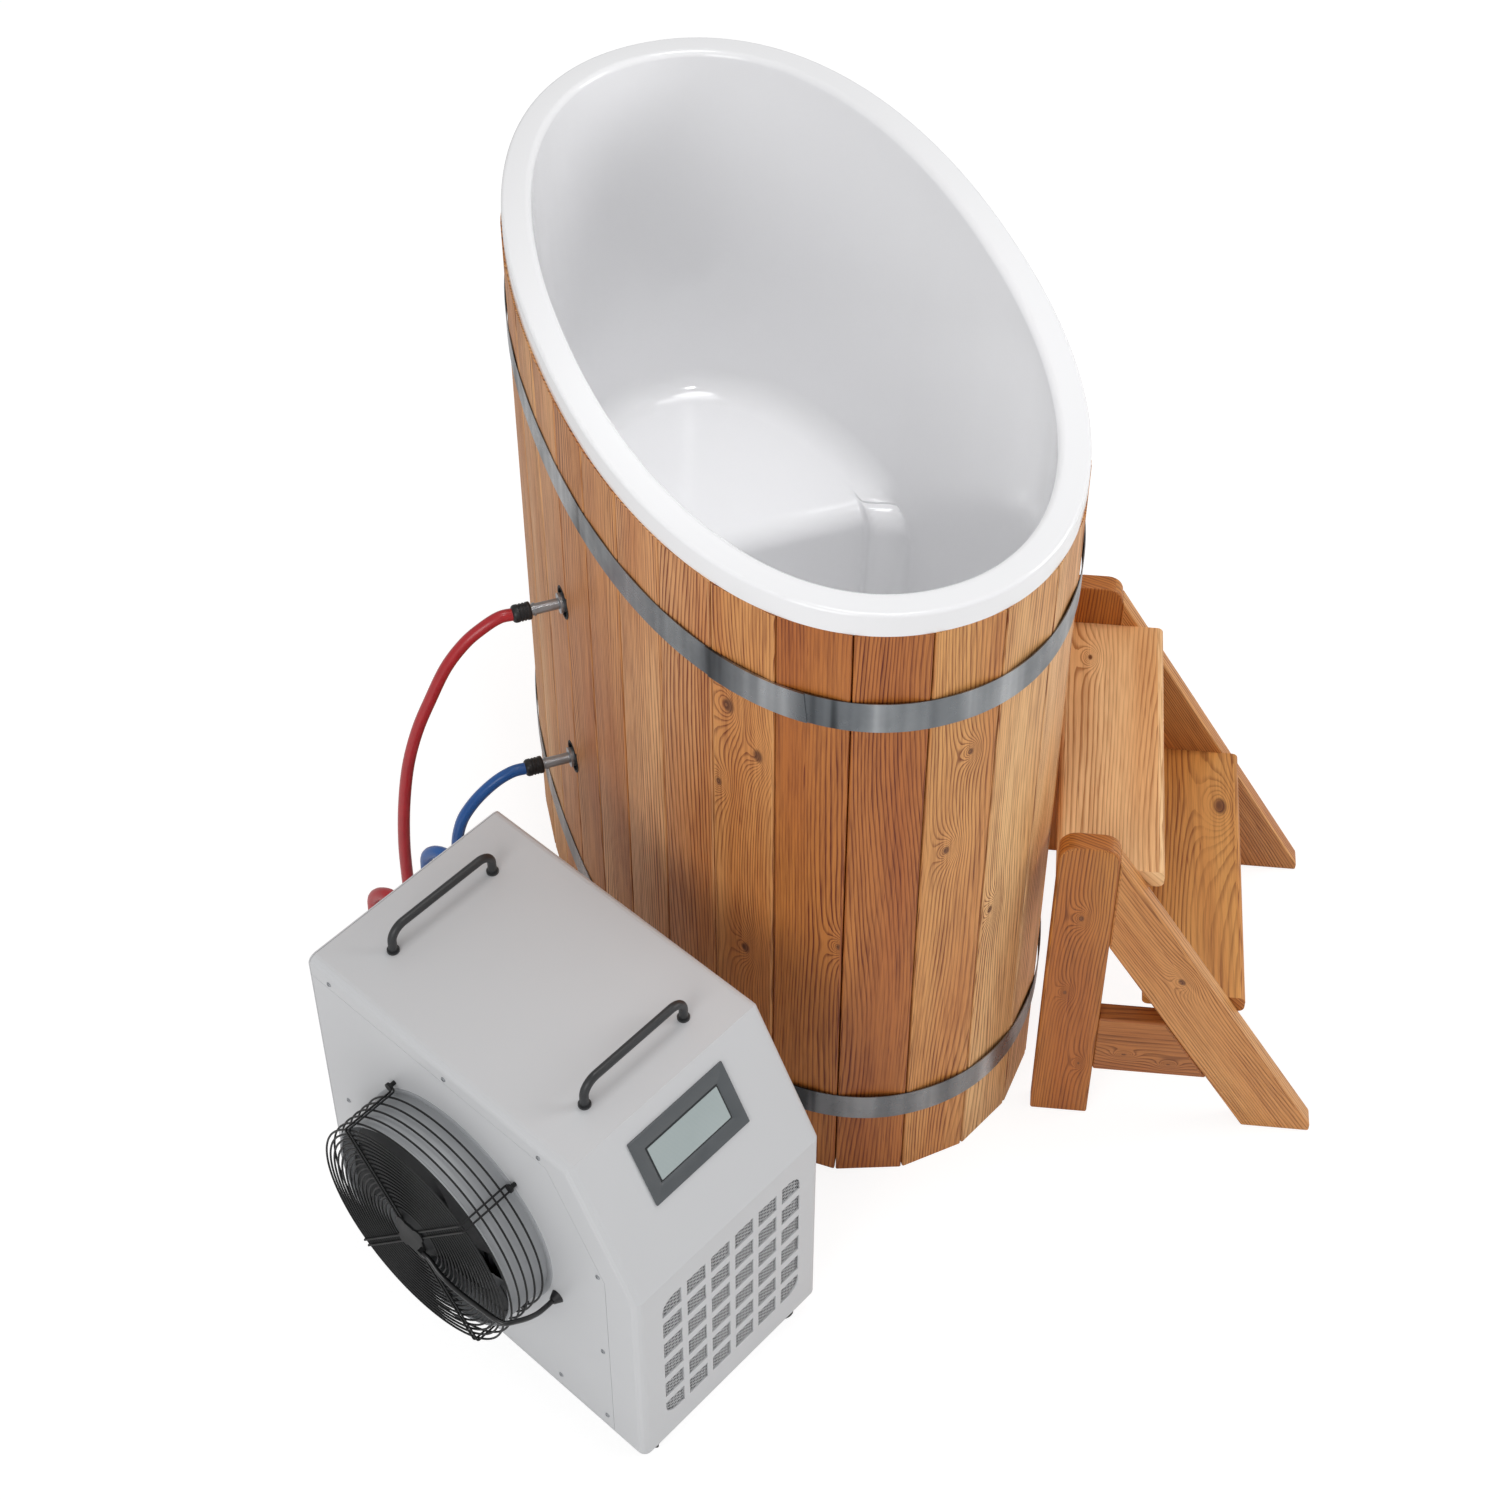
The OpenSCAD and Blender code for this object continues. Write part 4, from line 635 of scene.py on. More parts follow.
def gelcoat(name):
    """White gelcoat from a polished mould: a wet gloss, with slow ripples of a few centimetres."""
    material, tree = new_surface(name)
    place = object_place(tree)
    tint = blend(tree, noise(tree, place, 2.5, 3), "#f6f6f8", "#fafafb")
    rough = spread(tree, noise(tree, place, 60, 4), 0.07, 0.15)
    finish_surface(tree, tint, rough, noise(tree, place, 9, 2), 0.06, 0.002, IOR=1.5, Coat_Weight=0.3,
                   Coat_Roughness=0.08)
    return material


stave_top = TUB_H - RIM_H
rim_inner, rim_edge = RIM_STEP + RIM_W, RIM_ROUND / 2
stations = list(reversed(shell_stations(LINER_T)))
rim_section = [(stave_top, wall_inset(stave_top) - LINER_T), (stave_top, RIM_STEP)]
rim_section += [(TUB_H - rim_edge * (1 - math.sin(t)), RIM_STEP + rim_edge * (1 - math.cos(t)))
                for t in quarter_turn()]
rim_section += [(TUB_H - RIM_ROUND * (1 - math.cos(t)), rim_inner - RIM_ROUND * (1 - math.sin(t)))
                for t in quarter_turn()]
stations += [(z, inset, 0, OPEN_FRONT) for z, inset in rim_section]
stations += shell_stations(0)
rings = [liner_ring(station) for station in stations]
points = [p for ring in rings for p in ring]
faces = tube_faces(len(rings), LINER_SIDES) + end_faces(len(rings), LINER_SIDES)
liner = shape("moulded_liner", points, faces, gelcoat("white_gelcoat"), sharp=40)
WASTE_Y, TAIL_R, BODY_R = -0.323, 0.0203, 0.0143
cut_out(liner, [(Vector((0, WASTE_Y, 0.05)), Vector((0, WASTE_Y, 0.13)), TAIL_R)]
        + wall_holes(0.02, 0.12, BODY_R))
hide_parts("liner")

# Fittings: turned stainless bulkheads through the wall, with a hexagon nut, rubber seals, a white
# return nozzle and strainer inside, and black collars that grip the hoses on their nipples.


def turned_stainless(name, tone):
    """Bare or zinc-plated steel: an even soft shine, clouded over some centimetres and faintly
    scratched along the work."""
    material, tree = new_surface(name)
    place = object_place(tree)
    scratch = noise(tree, place, 1, 2, (60, 60, 420))
    tint = blend(tree, noise(tree, place, 45, 3), tone, "#b4b7ba")
    rough = spread(tree, scratch, 0.24, 0.38)
    finish_surface(tree, tint, rough, scratch, 0.03, 0.0002, Metallic=0.85)
    return material


def moulded_plastic(name, light, dark, rough_low, rough_high, grit=900):
    """Injection-moulded plastic: an even colour under a fine spark-eroded grain that breaks up the
    highlights, a little lighter where hands and dust have dulled it."""
    material, tree = new_surface(name)
    place = object_place(tree)
    worn = noise(tree, place, 24, 4)
    rough = spread(tree, worn, rough_low, rough_high, 0.3, 0.7)
    tint = blend(tree, worn, dark, light)
    finish_surface(tree, tint, rough, noise(tree, place, grit, 2), 0.12, 0.0002, IOR=1.49)
    return material


stainless = turned_stainless("turned_stainless", "#8b8e92")
dress(["upper_bulkhead", "lower_bulkhead", "bulkhead_nuts", "hose_ports", "drain_waste"], stainless)
dress(["bulkhead_seals"], moulded_plastic("nitrile_rubber", "#26272a", "#1a1b1c", 0.5, 0.7))
dress(["return_nozzle", "inlet_strainer", "water_pipes"],
      moulded_plastic("white_abs", "#f0f0ee", "#e4e4e2", 0.22, 0.36))
dress(["drain_cap", "controller_box"], moulded_plastic("grey_abs", "#6e7174", "#5d6063", 0.4, 0.55))
collar_nylon = moulded_plastic("black_nylon", "#232325", "#151516", 0.34, 0.5)
dress(["cable_gland"], collar_nylon)


def turned(profile, start, direction, segments=48):
    """Points and faces of a form turned on a lathe from (along, radius) pairs."""
    axis = direction.normalized()
    side = axis.orthogonal().normalized()
    other = axis.cross(side)
    points = [start + axis * along + (side * math.cos(2 * math.pi * k / segments)
              + other * math.sin(2 * math.pi * k / segments)) * radius
              for along, radius in profile for k in range(segments)]
    return points, tube_faces(len(profile), segments) + end_faces(len(profile), segments)


def joined(parts):
    """Several point and face lists as one."""
    points, faces = [], []
    for more, sides in parts:
        faces += [[len(points) + k for k in face] for face in sides]
        points += more
    return points, faces


COLLAR_R, COLLAR_L, GROOVE = 0.013, 0.027, 0.0009
collar_profile = [(0, 0.0095), (0.0003, COLLAR_R - 0.0014), (0.0012, COLLAR_R - 0.0003), (0.002, COLLAR_R)]
for step in range(3):
    middle = 0.0075 + step * 0.0045
    collar_profile += [(middle - 0.0014, COLLAR_R), (middle - 0.0007, COLLAR_R - GROOVE),
                       (middle + 0.0007, COLLAR_R - GROOVE), (middle + 0.0014, COLLAR_R)]
collar_profile += [(COLLAR_L - 0.004, COLLAR_R), (COLLAR_L - 0.0015, COLLAR_R - 0.0012),
                   (COLLAR_L - 0.0004, COLLAR_R - 0.0024), (COLLAR_L, 0.0095)]


def chiller_way(x, y):
    """A direction along the chiller's own axes."""
    return chiller_point(x, y, 0) - chiller_point(0, 0, 0)


outward = chiller_way(0, 1)
collar_starts = [(Vector((FITTING_FACE - 0.045, FITTING_Y, z)), Vector((-1, 0, 0)))
                 for z in (FITTING_HIGH, FITTING_LOW)]
collar_starts += [(chiller_point(x, CASE_D + 0.005, PORT_Z), outward) for x in PORT_X.values()]
collars = shape("ribbed_hose_collars", *joined([turned(collar_profile, *place) for place in collar_starts]),
                collar_nylon, sharp=50)
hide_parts("hose_collars")

# Hole shade: black rings sunk in the two holes in the boards, round the fittings' flanges, painted shade
# that darkens the gaps in the holes.
SHADE_RING_IN, SHADE_RING_OUT, SHADE_RING_L = 0.0216, 0.0248, 0.014
shade_ring_profile = [(-SHADE_RING_L, SHADE_RING_IN), (-0.0010, SHADE_RING_IN), (-0.0004, SHADE_RING_IN + 0.0006),
                   (-0.0004, SHADE_RING_OUT - 0.0004), (-0.0012, SHADE_RING_OUT), (-SHADE_RING_L, SHADE_RING_OUT)]
shade_rings = []
for z in (FITTING_HIGH, FITTING_LOW):
    points, faces = turned(shade_ring_profile, Vector((FITTING_FACE, FITTING_Y, z)), Vector((-1, 0, 0)))
    count = len(points) // len(shade_ring_profile)
    last = len(points) - count
    faces = faces[:-2] + [[k, (k + 1) % count, last + (k + 1) % count, last + k] for k in range(count)]
    shade_rings.append((points, faces))
shade_ring_piece = shape("hole_shade_rings", *joined(shade_rings),
                moulded_plastic("black_hole_shade", "#1b1c1d", "#121314", 0.5, 0.7), sharp=40)

# Chiller case: folded 2 mm sheet steel with a light grey powder coat. One cover makes the front,
# the slope and the top; flat side and rear panels are screwed on behind a fine seam.


def powder_coat(name, light, dark):
    """Fine-texture powder coat: satin, with an orange-peel grain of under a millimetre."""
    material, tree = new_surface(name)
    place = object_place(tree)
    peel = noise(tree, place, 1300, 2)
    tint = blend(tree, noise(tree, place, 5, 3), dark, light)
    finish_surface(tree, tint, spread(tree, peel, 0.36, 0.5), peel, 0.16, 0.0002, IOR=1.5)
    return material


case_coat = powder_coat("light_grey_powder_coat", "#cfd0d2", "#cacbcd")
dress(["base_pan", "case_cover", "left_panel", "right_panel", "rear_panel"], case_coat)

# Panel screws: pan heads with a hexagon socket, zinc plated, along the seams.
SCREW_R, SCREW_H, SOCKET_R = 0.0036, 0.0018, 0.0016
screw_profile = [(0, SCREW_R), (SCREW_H * 0.45, SCREW_R), (SCREW_H * 0.8, SCREW_R * 0.82),
                 (SCREW_H, SCREW_R * 0.55), (SCREW_H, SOCKET_R), (SCREW_H * 0.35, SOCKET_R * 0.9)]
side_screws = [
    (0.161, 0.534), (0.330, 0.534), (0.545, 0.534), (0.068, 0.368), (0.068, 0.190),
    (0.068, 0.028), (0.155, 0.028), (0.330, 0.028), (0.545, 0.028), (0.545, 0.278)]
heads = []
for y, z in side_screws:
    heads.append((chiller_point(0, y, z), -1))
    heads.append((chiller_point(CASE_W, y, z), 1))
across = chiller_way(1, 0)
screws = shape("case_screws", *joined(
    [turned(screw_profile, place, across * way, 18) for place, way in heads]
    + [turned(screw_profile, chiller_point(x, CASE_D, z), outward, 18)
       for x in (0.02, CASE_W / 2, CASE_W - 0.02) for z in (0.02, CASE_H - 0.02)]),
    turned_stainless("zinc_plated_screws", "#8d9094"), sharp=35)

# Grille: expanded steel sheet, painted like the case, behind the cover's six by six windows.
# Its strands run as flat diamonds; each is a slit that was pulled open.
MESH_X0, MESH_X1, MESH_Z0, MESH_Z1 = 0.0380, 0.3056, 0.0438, 0.3348
MESH_Y, MESH_T = 0.0021, 0.0011
DIAMOND_W, DIAMOND_H, STRAND = 0.0120, 0.0074, 0.0012


def expanded_sheet():
    """Diamond cells side by side, each a frame of four strands, and offset in every other row."""
    points, faces = [], []
    columns = int((MESH_X1 - MESH_X0) / DIAMOND_W)
    rows = int((MESH_Z1 - MESH_Z0) / (DIAMOND_H / 2)) - 1
    for row in range(rows):
        for column in range(columns - row % 2):
            x = MESH_X0 + (column + 0.5 + (row % 2) / 2) * DIAMOND_W
            z = MESH_Z0 + (row + 1) * DIAMOND_H / 2
            half_w, half_h = DIAMOND_W / 2, DIAMOND_H / 2
            in_w, in_h = half_w - STRAND, half_h - STRAND * half_h / half_w
            low = len(points)
            for depth in (MESH_Y, MESH_Y + MESH_T):
                for w, h in ((half_w, half_h), (in_w, in_h)):
                    points += [chiller_point(x + w, depth, z), chiller_point(x, depth, z + h),
                               chiller_point(x - w, depth, z), chiller_point(x, depth, z - h)]
            for k in range(4):
                m = (k + 1) % 4
                faces.append([low + k, low + 4 + k, low + 4 + m, low + m])
                faces.append([low + 8 + k, low + 8 + m, low + 12 + m, low + 12 + k])
                faces.append([low + 4 + k, low + 12 + k, low + 12 + m, low + 4 + m])
                faces.append([low + k, low + m, low + 8 + m, low + 8 + k])
    return points, faces


grille = shape("expanded_grille", *expanded_sheet(),
               powder_coat("grille_paint", "#c3c4c6", "#b4b5b7"), sharp=20)
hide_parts("grille_mesh")

# Grille shade: a thin black sheet behind the grille, painted shade that makes its cells look dark.
SHADE_SHEET_BACK, SHADE_SHEET_T = 0.003, 0.004
shade_sheet_y = MESH_Y + MESH_T + SHADE_SHEET_BACK
corners = ((MESH_X0, MESH_Z0), (MESH_X1, MESH_Z0), (MESH_X1, MESH_Z1), (MESH_X0, MESH_Z1))
shade_sheet = shape("grille_shade_sheet", [chiller_point(x, y, z) for y in (shade_sheet_y, shade_sheet_y + SHADE_SHEET_T) for x, z in corners],
            tube_faces(2, 4) + end_faces(2, 4),
            moulded_plastic("black_grille_shade", "#1c1d1f", "#101112", 0.85, 0.95))

# Display: a dark moulded bezel on the slope round a sunk liquid crystal panel. The bezel is one
# moulding with a bevel towards the panel, and the panel has a thin black border.
SLOPE_RUN, FRONT_H = 0.109, 0.370
slope_angle = math.atan2(CASE_H - FRONT_H, SLOPE_RUN)
BEZEL_W, BEZEL_H, BEZEL_UP, BEZEL_T, BEZEL_R = 0.168, 0.096, 0.093, 0.003, 0.0012
SCREEN_W, SCREEN_H = 0.129, 0.054


def slope_point(x, up, out):
    c, s = math.cos(slope_angle), math.sin(slope_angle)
    return chiller_point(x, up * c - out * s, FRONT_H + up * s + out * c)


def rounded(width, height, radius, steps=6):
    """A rounded rectangle's outline round its middle."""
    outline = []
    for side_x, side_y, first in ((1, 1, 0), (-1, 1, 90), (-1, -1, 180), (1, -1, 270)):
        for k in range(steps + 1):
            t = math.radians(first + 90 * k / steps)
            outline.append((side_x * (width / 2 - radius) + radius * math.cos(t),
                            side_y * (height / 2 - radius) + radius * math.sin(t)))
    return outline


def stepped_frame(levels):
    """A frame from its outer foot to its inner foot: levels of (width, height, radius, out)."""
    points = [slope_point(CASE_W / 2 + x, BEZEL_UP + BEZEL_H / 2 + y, out)
              for width, height, radius, out in levels for x, y in rounded(width, height, radius)]
    return points, tube_faces(len(levels), len(points) // len(levels))


bezel = shape("display_surround", *stepped_frame([
    (BEZEL_W, BEZEL_H, BEZEL_R, 0), (BEZEL_W, BEZEL_H, BEZEL_R, BEZEL_T - 0.0008),
    (BEZEL_W - 0.0016, BEZEL_H - 0.0016, BEZEL_R - 0.0008, BEZEL_T),
    (SCREEN_W + 0.008, SCREEN_H + 0.008, 0.003, BEZEL_T),
    (SCREEN_W + 0.0025, SCREEN_H + 0.0025, 0.0018, BEZEL_T - 0.0012),
    (SCREEN_W, SCREEN_H, 0.001, BEZEL_T / 3)]),
    moulded_plastic("charcoal_abs", "#5a5e61", "#4c5053", 0.35, 0.48), sharp=25)
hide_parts("display_bezel")


def liquid_crystal(name):
    """An unlit liquid crystal panel under glass: grey-green, with a faint grid of cells."""
    material, tree = new_surface(name)
    place = object_place(tree)
    cells = add(tree, "TexChecker", Vector=place, Scale=900, Color1=linear("#b1bbbb"),
                Color2=linear("#aeb9b9"))
    cloud = noise(tree, place, 14, 2)
    tint = blend(tree, cloud, cells.outputs[0], "#e6eaea", "MULTIPLY")
    glass = add(tree, "BsdfPrincipled", Base_Color=tint, Roughness=spread(tree, cloud, 0.12, 0.2), IOR=1.5,
                Coat_Weight=0.5, Coat_Roughness=0.05)
    add(tree, "OutputMaterial", Surface=glass.outputs[0])
    return material


def plate(width, height, radius, low, high):
    """A flat plate on the slope, between two heights over it."""
    points, faces = stepped_frame([(width, height, radius, low), (width, height, radius, high)])
    return points, faces + end_faces(2, len(points) // 2)


border = shape("screen_border", *plate(SCREEN_W - 0.0002, SCREEN_H - 0.0002, 0.001, 0.0003, 0.0011),
               moulded_plastic("black_abs", "#303335", "#222426", 0.3, 0.4))
screen = shape("liquid_crystal_panel", *plate(SCREEN_W - 0.005, SCREEN_H - 0.005, 0.0015, 0.0008, 0.0018),
               liquid_crystal("liquid_crystal"))
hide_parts("display_screen")

# Handles: two bars of bent steel tube in black plastic coat, screwed down through the top.
dress(["front_handle", "rear_handle"],
      moulded_plastic("black_coated_tube", "#38393b", "#28292a", 0.36, 0.5))

# Fan on the case's left side: a short spun ring, a plastic rotor with swept blades, a motor behind
# a cross-shaped plate, and a guard of welded wire rings held by four pairs of stays.
ROTOR_R, ROTOR_TOP, ROTOR_L, AXLE_R = 0.044, 0.0759, 0.048, 0.0051
BLADE_COUNT, BLADE_CELLS, BLADE_THICK, BLADE_DEPTH = 5, 16, 0.0018, 0.038
BLADE_SWEEP, ROOT_SPREAD, TIP_SPREAD = math.radians(32), math.radians(46), math.radians(54)
TIP_CUT, TIP_LEVEL, CAMBER = 0.10, 0.35, 0.18


def fan_local(x, y, z):
    """A point of the fan: x up, y back along the case, z out of its left side."""
    return fan_point(y, x, z)


def around(r, turn, z):
    return fan_local(r * math.cos(turn), r * math.sin(turn), z)


blade_mid = ROTOR_TOP - ROTOR_L / 2
blade_root, blade_tip = ROTOR_R - 0.002, 0.152


def blade_place(t, k, off):
    """A spot on a blade: t from root to tip, k from trailing to leading edge."""
    c = k - 0.5
    spread = ROOT_SPREAD + (TIP_SPREAD - ROOT_SPREAD) * t
    round_off = 1 - TIP_CUT * max(0, abs(2 * c) - 0.55) * max(0, t - 0.6) / 0.18
    r = blade_root + (blade_tip - blade_root) * t * round_off
    lift = BLADE_DEPTH * (1 - TIP_LEVEL * t) * (c + CAMBER * (1 - 4 * c * c))
    return around(r, BLADE_SWEEP * t * t + c * spread + off[0], blade_mid + lift + off[1])


def blade_form(turn):
    n = BLADE_CELLS + 1
    points = [blade_place(i / BLADE_CELLS, k / BLADE_CELLS, (turn, side * BLADE_THICK / 2))
              for side in (-1, 1) for i in range(n) for k in range(n)]
    faces = []
    for i in range(BLADE_CELLS):
        for k in range(BLADE_CELLS):
            quad = [i * n + k, i * n + k + 1, (i + 1) * n + k + 1, (i + 1) * n + k]
            faces += [list(reversed(quad)), [n * n + q for q in quad]]
    rim = (list(range(n)) + [i * n + n - 1 for i in range(1, n)]
           + [(n - 1) * n + k for k in reversed(range(n - 1))] + [i * n for i in reversed(range(1, n - 1))])
    faces += [[u, v, n * n + v, n * n + u] for u, v in zip(rim, rim[1:] + rim[:1])]
    return points, faces


fan_out = fan_local(0, 0, 1) - fan_local(0, 0, 0)
hub_profile = [(0, ROTOR_R - 0.002), (0.002, ROTOR_R), (ROTOR_L - 0.006, ROTOR_R),
               (ROTOR_L - 0.003, ROTOR_R - 0.0008), (ROTOR_L - 0.001, ROTOR_R - 0.003),
               (ROTOR_L, ROTOR_R - 0.006), (ROTOR_L, AXLE_R), (0.004, AXLE_R)]
blades = [blade_form(2 * math.pi * k / BLADE_COUNT) for k in range(BLADE_COUNT)]
hub = turned(hub_profile, fan_local(0, 0, ROTOR_TOP - ROTOR_L), fan_out, 64)
rotor = shape("swept_blade_rotor", *joined([hub] + blades),
              moulded_plastic("black_glass_nylon", "#2b2c2e", "#1e1f21", 0.5, 0.64), body="fan", sharp=40)
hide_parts("fan_rotor")

dress(["fan_shroud"], powder_coat("galvanised_sheet", "#b2b4b7", "#a6a9ac"))
dress(["fan_motor"], moulded_plastic("motor_black_paint", "#222325", "#18191a", 0.58, 0.72))
dress(["guard_front", "guard_side"],
      moulded_plastic("black_powder_on_wire", "#101112", "#0a0b0c", 0.5, 0.62))

# Condenser: a stack of thin aluminium fins on copper rows behind the fan, seen through its ring.
# The compressor, the pump and the pipes stand behind it on the pan.


def finned_coil(name):
    """Aluminium fins 2 mm apart, seen end on: bright edges with painted shade in the gaps, a few of them
    bent.
    """
    material, tree = new_surface(name)
    place = add(tree, "Mapping", Vector=object_place(tree), Rotation=(0, 0, -CHILLER_TURN)).outputs[0]
    split = add(tree, "SeparateXYZ", Vector=place)
    fins = maths(tree, "MULTIPLY_ADD", split.outputs[1], 500, noise(tree, place, 40, 2))
    edge = spread(tree, maths(tree, "FRACT", fins), 0, 1, 0.5, 0.75, "SMOOTHSTEP")
    # The dark colour between the fin edges is painted shade.
    finish_surface(tree, blend(tree, edge, "#26282a", "#b8bcc0"), 0.4, edge, 0.6, 0.001, Metallic=0.7)
    return material


dress(["condenser_coil"], finned_coil("aluminium_fins"))
dress(["compressor"], powder_coat("compressor_black", "#222325", "#191a1b"))
dress(["heat_exchanger"], moulded_plastic("closed_cell_foam", "#2a2b2c", "#1c1d1e", 0.75, 0.9, 300))
dress(["circulation_pump"], moulded_plastic("black_glass_filled", "#2b2c2e", "#1d1e1f", 0.38, 0.52))

# Casters: zinc-plated plates under the pan, black nylon forks and a pair of wheels on each, with
# soft grey treads round a hard core. Each fork trails, and its wheels roll.
CASTER_PLACES = {1: (0.050, 0.044, -135), 2: (0.290, 0.044, -45),
                 3: (0.050, 0.539, 135), 4: (0.290, 0.539, 45)}
TRAIL, WHEEL_R, WHEEL_W, FORK_W = 0.014, 0.020, 0.009, 0.009
dress(["caster_plates"], turned_stainless("zinc_plated_plate", "#9a9da1"))
dress(["caster_fork_%d" % k for k in CASTER_PLACES],
      moulded_plastic("black_caster_nylon", "#2a2b2d", "#1c1d1e", 0.36, 0.5))
tyre = moulded_plastic("caster_rubber", "#38393b", "#27282a", 0.5, 0.66, 400)
wheel_profile = [
    (0, 0.006), (0.0006, 0.012), (0, 0.0125), (0, WHEEL_R * 0.88), (0.0006, WHEEL_R * 0.955),
    (0.0018, WHEEL_R), (WHEEL_W - 0.0018, WHEEL_R), (WHEEL_W - 0.0006, WHEEL_R * 0.955),
    (WHEEL_W, WHEEL_R * 0.88),
    (WHEEL_W, 0.0125), (WHEEL_W - 0.0014, 0.0118), (WHEEL_W - 0.0014, 0.006), (WHEEL_W, 0.0052)]
for k, (x, y, turn) in CASTER_PLACES.items():
    swing = math.radians(turn)
    ahead = chiller_way(math.cos(swing), math.sin(swing))
    sideways = Vector((-ahead.y, ahead.x, 0))
    hub_place = chiller_point(x, y, WHEEL_R - CASE_Z) + ahead * TRAIL
    inner = FORK_W / 2 + 0.0003
    pair = [turned(wheel_profile, hub_place + sideways * side * inner, sideways * side, 56)
            for side in (-1, 1)]
    axle = turned([(0, 0.003), (2 * inner + WHEEL_W, 0.003)],
                  hub_place - sideways * (inner + WHEEL_W / 2), sideways, 24)
    wheels = shape("caster_wheel_pair_%d" % k, *joined(pair + [axle]), tyre, body="wheel_%d" % k, sharp=35)
    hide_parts("caster_wheel_%d" % k)

# Step stool: planed pine with rounded edges, oiled like the tub. Two side frames, each an upright
# post, a raking strut and a rail; two treads with rounded noses sit between them on cleats.
STOOL_PLACE, STOOL_TURN = Vector((0.193, -0.589, 0)), math.radians(-24.6)
STOOL_W, STOOL_H, FRAME_T = 0.5235, 0.600, 0.030
POST_W, POST_R, FOOT_RUN, FOOT_W, LEAN, TOE = 0.083, 0.024, 0.409, 0.099, 0.579, 0.013
STOOL_RAIL_Z, STOOL_RAIL_H, TREAD_T = 0.109, 0.120, 0.030
TREADS = {"upper": (0, 0.147, 0.528), "lower": (0.142, 0.145, 0.265)}
EDGE_R, NOSE_R, FAR_SEED = 0.003, 0.009, 0.7


def strut_in(z):
    return FOOT_RUN - FOOT_W - z * LEAN


def stool_point(x, y, z):
    c, s = math.cos(STOOL_TURN), math.sin(STOOL_TURN)
    return STOOL_PLACE + Vector((x * c - y * s, x * s + y * c, z))


def stool_spot(place, normal, grain, seed, radius):
    """Where a knot at a place on a face lies on the board's map."""
    grain = Vector(grain).normalized()
    return (place.dot(normal.cross(grain).normalized()) + seed, place.dot(grain), radius)


def planks(name, outline_runs, surface, grain, seed, round_r=EDGE_R):
    """Boards cut from outlines in the frame's (x, z) plane between two depths, edges rounded."""
    points, faces = [], []
    for outline, y0, y1 in outline_runs:
        n, low = len(outline), len(points)
        points += [stool_point(x, y, z) for y in (y0, y1) for x, z in outline]
        faces += tube_faces(2, n, low) + end_faces(2, n, low)
    piece = shape(name, points, faces, surface)
    form = bmesh.new()
    form.from_mesh(piece.data)
    sharp_edges = [e for e in form.edges if len(e.link_faces) == 2
                   and e.calc_face_angle() > math.radians(25)]
    bmesh.ops.bevel(form, geom=sharp_edges, offset=round_r, segments=3, profile=0.5, affect="EDGES")
    form.to_mesh(piece.data)
    form.free()
    smooth(piece.data, 40)
    lay_grain(piece.data, grain,
              lambda face: seed + (FAR_SEED if face.center.dot(stool_y_axis) > far_frame else 0))
    return piece


stool_y_axis = stool_point(0, 1, 0) - stool_point(0, 0, 0)
stool_x_axis = stool_point(1, 0, 0) - stool_point(0, 0, 0)
far_frame = stool_point(0, STOOL_W - FRAME_T * 1.5, 0).dot(stool_y_axis)
both = ((0, FRAME_T), (STOOL_W - FRAME_T, STOOL_W))
arc_steps = [math.radians(90 * k / 6) for k in range(7)]
post = ([(0, 0), (POST_W, 0)]
        + [(POST_W - POST_R * (1 - math.cos(t)), STOOL_H - POST_R * (1 - math.sin(t))) for t in arc_steps]
        + [(POST_R * (1 - math.sin(t)), STOOL_H - POST_R * (1 - math.cos(t))) for t in arc_steps])
strut = [(strut_in(0), 0), (FOOT_RUN, 0), (FOOT_RUN, TOE), (POST_W, TOE + (FOOT_RUN - POST_W) / LEAN),
         (POST_W, (FOOT_RUN - FOOT_W - POST_W) / LEAN)]
rail = [(POST_W, STOOL_RAIL_Z), (strut_in(STOOL_RAIL_Z), STOOL_RAIL_Z),
        (strut_in(STOOL_RAIL_Z + STOOL_RAIL_H), STOOL_RAIL_Z + STOOL_RAIL_H),
        (POST_W, STOOL_RAIL_Z + STOOL_RAIL_H)]
lean_axis = stool_point(-LEAN, 0, 1) - stool_point(0, 0, 0)
up, near_side = Vector((0, 0, 1)), -stool_y_axis
post_knots = [stool_spot(stool_point(0.040, 0, 0.453), near_side, up, 0.2, 0.004),
              stool_spot(stool_point(0.030, 0, 0.285), near_side, up, 0.2, 0.003),
              stool_spot(stool_point(0.062, 0, 0.120), near_side, up, 0.2, 0.002)]
posts = planks("stool_side_posts", [(post, a, b) for a, b in both],
               oiled_softwood("pine_posts", "#cc853b", "#7c451c", post_knots, 0.0046), up, 0.2)
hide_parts("stool_posts")
strut_knot = stool_spot(stool_point(0.190, 0, 0.330), near_side, lean_axis, 1.7, 0.005)
struts = planks("stool_raking_struts", [(strut, a, b) for a, b in both],
                oiled_softwood("pine_struts", "#e2a563", "#8d5426", [strut_knot], 0.0048), lean_axis, 1.7)
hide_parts("stool_struts")
rail_knots = [stool_spot(stool_point(0.125, 0, 0.150), near_side, stool_x_axis, 3.1, 0.0025),
              stool_spot(stool_point(0.190, 0, 0.135), near_side, stool_x_axis, 3.1, 0.002)]
rails = planks("stool_side_rails", [(rail, a, b) for a, b in both],
               oiled_softwood("pine_rails", "#b8743a", "#6f3c17", rail_knots, 0.0065), stool_x_axis, 3.1)
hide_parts("stool_rails")
TREAD_LOOKS = {"upper": ("#fcd099", "#bb8450", 4.4, (0.040, 0.424, 0.0035)),
               "lower": ("#e1a359", "#8c5020", 6.2, (0.258, 0.385, 0.0105))}
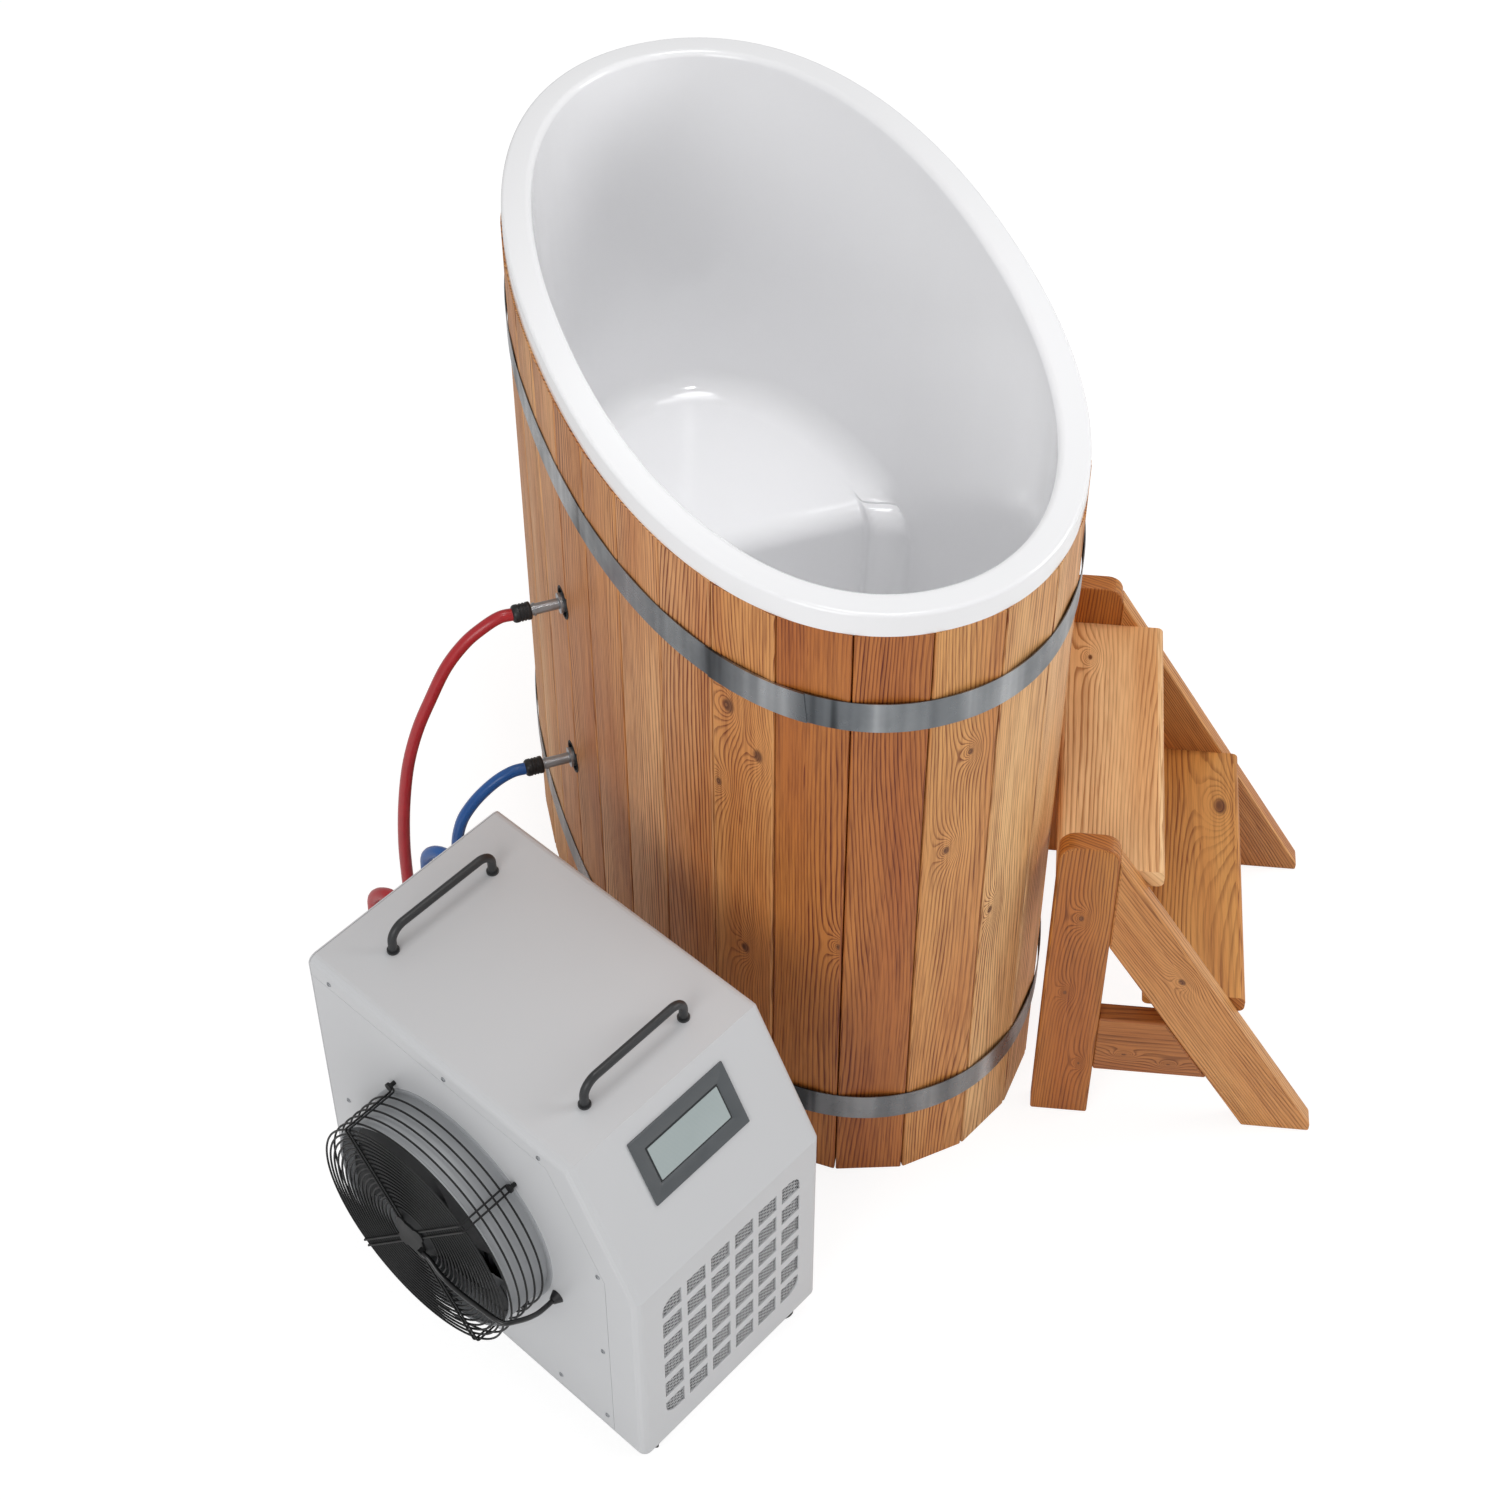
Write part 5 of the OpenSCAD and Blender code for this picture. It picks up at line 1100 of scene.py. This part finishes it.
for which, (start, depth, top) in TREADS.items():
    low, r = top - TREAD_T, NOSE_R
    outline = []
    for x, z, first in ((start + depth - r, top - r, 0), (start + r, top - r, 90),
                        (start + r, low + r, 180), (start + depth - r, low + r, 270)):
        turns = [math.radians(first + 15 * k) for k in range(7)]
        outline += [(x + r * math.cos(t), z + r * math.sin(t)) for t in turns]
    light, dark, seed, (x, y, radius) = TREAD_LOOKS[which]
    knot = stool_spot(stool_point(x, y, top), up, stool_y_axis, seed, radius)
    tread = planks("stool_%s_tread" % which, [(outline, FRAME_T, STOOL_W - FRAME_T)],
                   oiled_softwood("pine_%s_tread" % which, light, dark, [knot], 0.0075), stool_y_axis,
                   seed, 0.0002)
    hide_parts(which + "_tread")
dress(["tread_cleats"], sawn_timber("pine_cleats", "#d2a26a", "#a8743c", (0, 0, -STOOL_TURN)))

# Light: a large soft lamp high on the chiller's side, a smaller one overhead, one from the stool's
# side, a narrow soft beam from above the foot end that reaches into the bath, and an even sky.


def soft_lamp(name, place, aim, watts, kind="AREA", **settings):
    """A lamp at a place, turned towards its aim."""
    lamp = placed(name, bpy.data.lights.new(name, kind))
    lamp.data.energy = watts
    for setting, value in settings.items():
        setattr(lamp.data, setting, value)
    lamp.location = place
    lamp.rotation_euler = (Vector(aim) - Vector(place)).to_track_quat("-Z", "Y").to_euler()


soft_lamp("key_lamp", (-3.0, -3.2, 2.6), (-0.2, -0.1, 0.5), 61, shape="DISK", size=2.5)
soft_lamp("top_lamp", (0.1, 0.1, 4.4), (0, 0, 0.6), 29, shape="DISK", size=1.4)
soft_lamp("side_lamp", (3.4, -1.2, 2.4), (0.2, 0, 0.5), 48, shape="DISK", size=2.0)
soft_lamp("bath_lamp", (-0.1, -1.3, 3.3), (0, 0.16, 0.6), 112, "SPOT", shadow_soft_size=0.25,
          spot_size=math.radians(17.5), spot_blend=1.0)
world = bpy.data.worlds.new("studio")
bpy.context.scene.world = world
world.use_nodes = True
tree = world.node_tree
tree.nodes.clear()
sky = add(tree, "Background", Color=(1, 1, 1, 1), Strength=0.46)
paper = add(tree, "Background", Color=(1, 1, 1, 1), Strength=1.0)
path = add(tree, "LightPath")
shown = add(tree, "MixShader", _0=path.outputs["Is Camera Ray"], _1=sky.outputs[0], _2=paper.outputs[0])
add(tree, "OutputWorld", Surface=shown.outputs[0])

# Floor: white studio paper. It is brought up to pure white in the picture, and keeps a part of the
# shadow that the tub, the hoses and the stool lay on it.
FLOOR_HALF = 8.0
FLOOR_SHADOW = 0.3
floor_mesh = bpy.data.meshes.new("studio_floor")
floor_mesh.from_pydata([(-FLOOR_HALF, -FLOOR_HALF, 0), (FLOOR_HALF, -FLOOR_HALF, 0),
                        (FLOOR_HALF, FLOOR_HALF, 0), (-FLOOR_HALF, FLOOR_HALF, 0)], [], [[0, 1, 2, 3]])
floor = placed("studio_floor", floor_mesh)
material, tree = new_surface("white_paper")
paper_tint = blend(tree, noise(tree, object_place(tree), 400, 2), "#fbfbfb", "#ffffff")
diffuse = add(tree, "BsdfDiffuse", Color=paper_tint)
glow = add(tree, "Emission", Color=(1, 1, 1, 1), Strength=1.2)
path = add(tree, "LightPath")
share = maths(tree, "MULTIPLY", path.outputs["Is Camera Ray"], 1 - FLOOR_SHADOW)
shown = add(tree, "MixShader", _0=share, _1=diffuse.outputs[0], _2=glow.outputs[0])
add(tree, "OutputMaterial", Surface=shown.outputs[0])
floor_mesh.materials.append(material)

bpy.context.scene.view_settings.view_transform = "Standard"
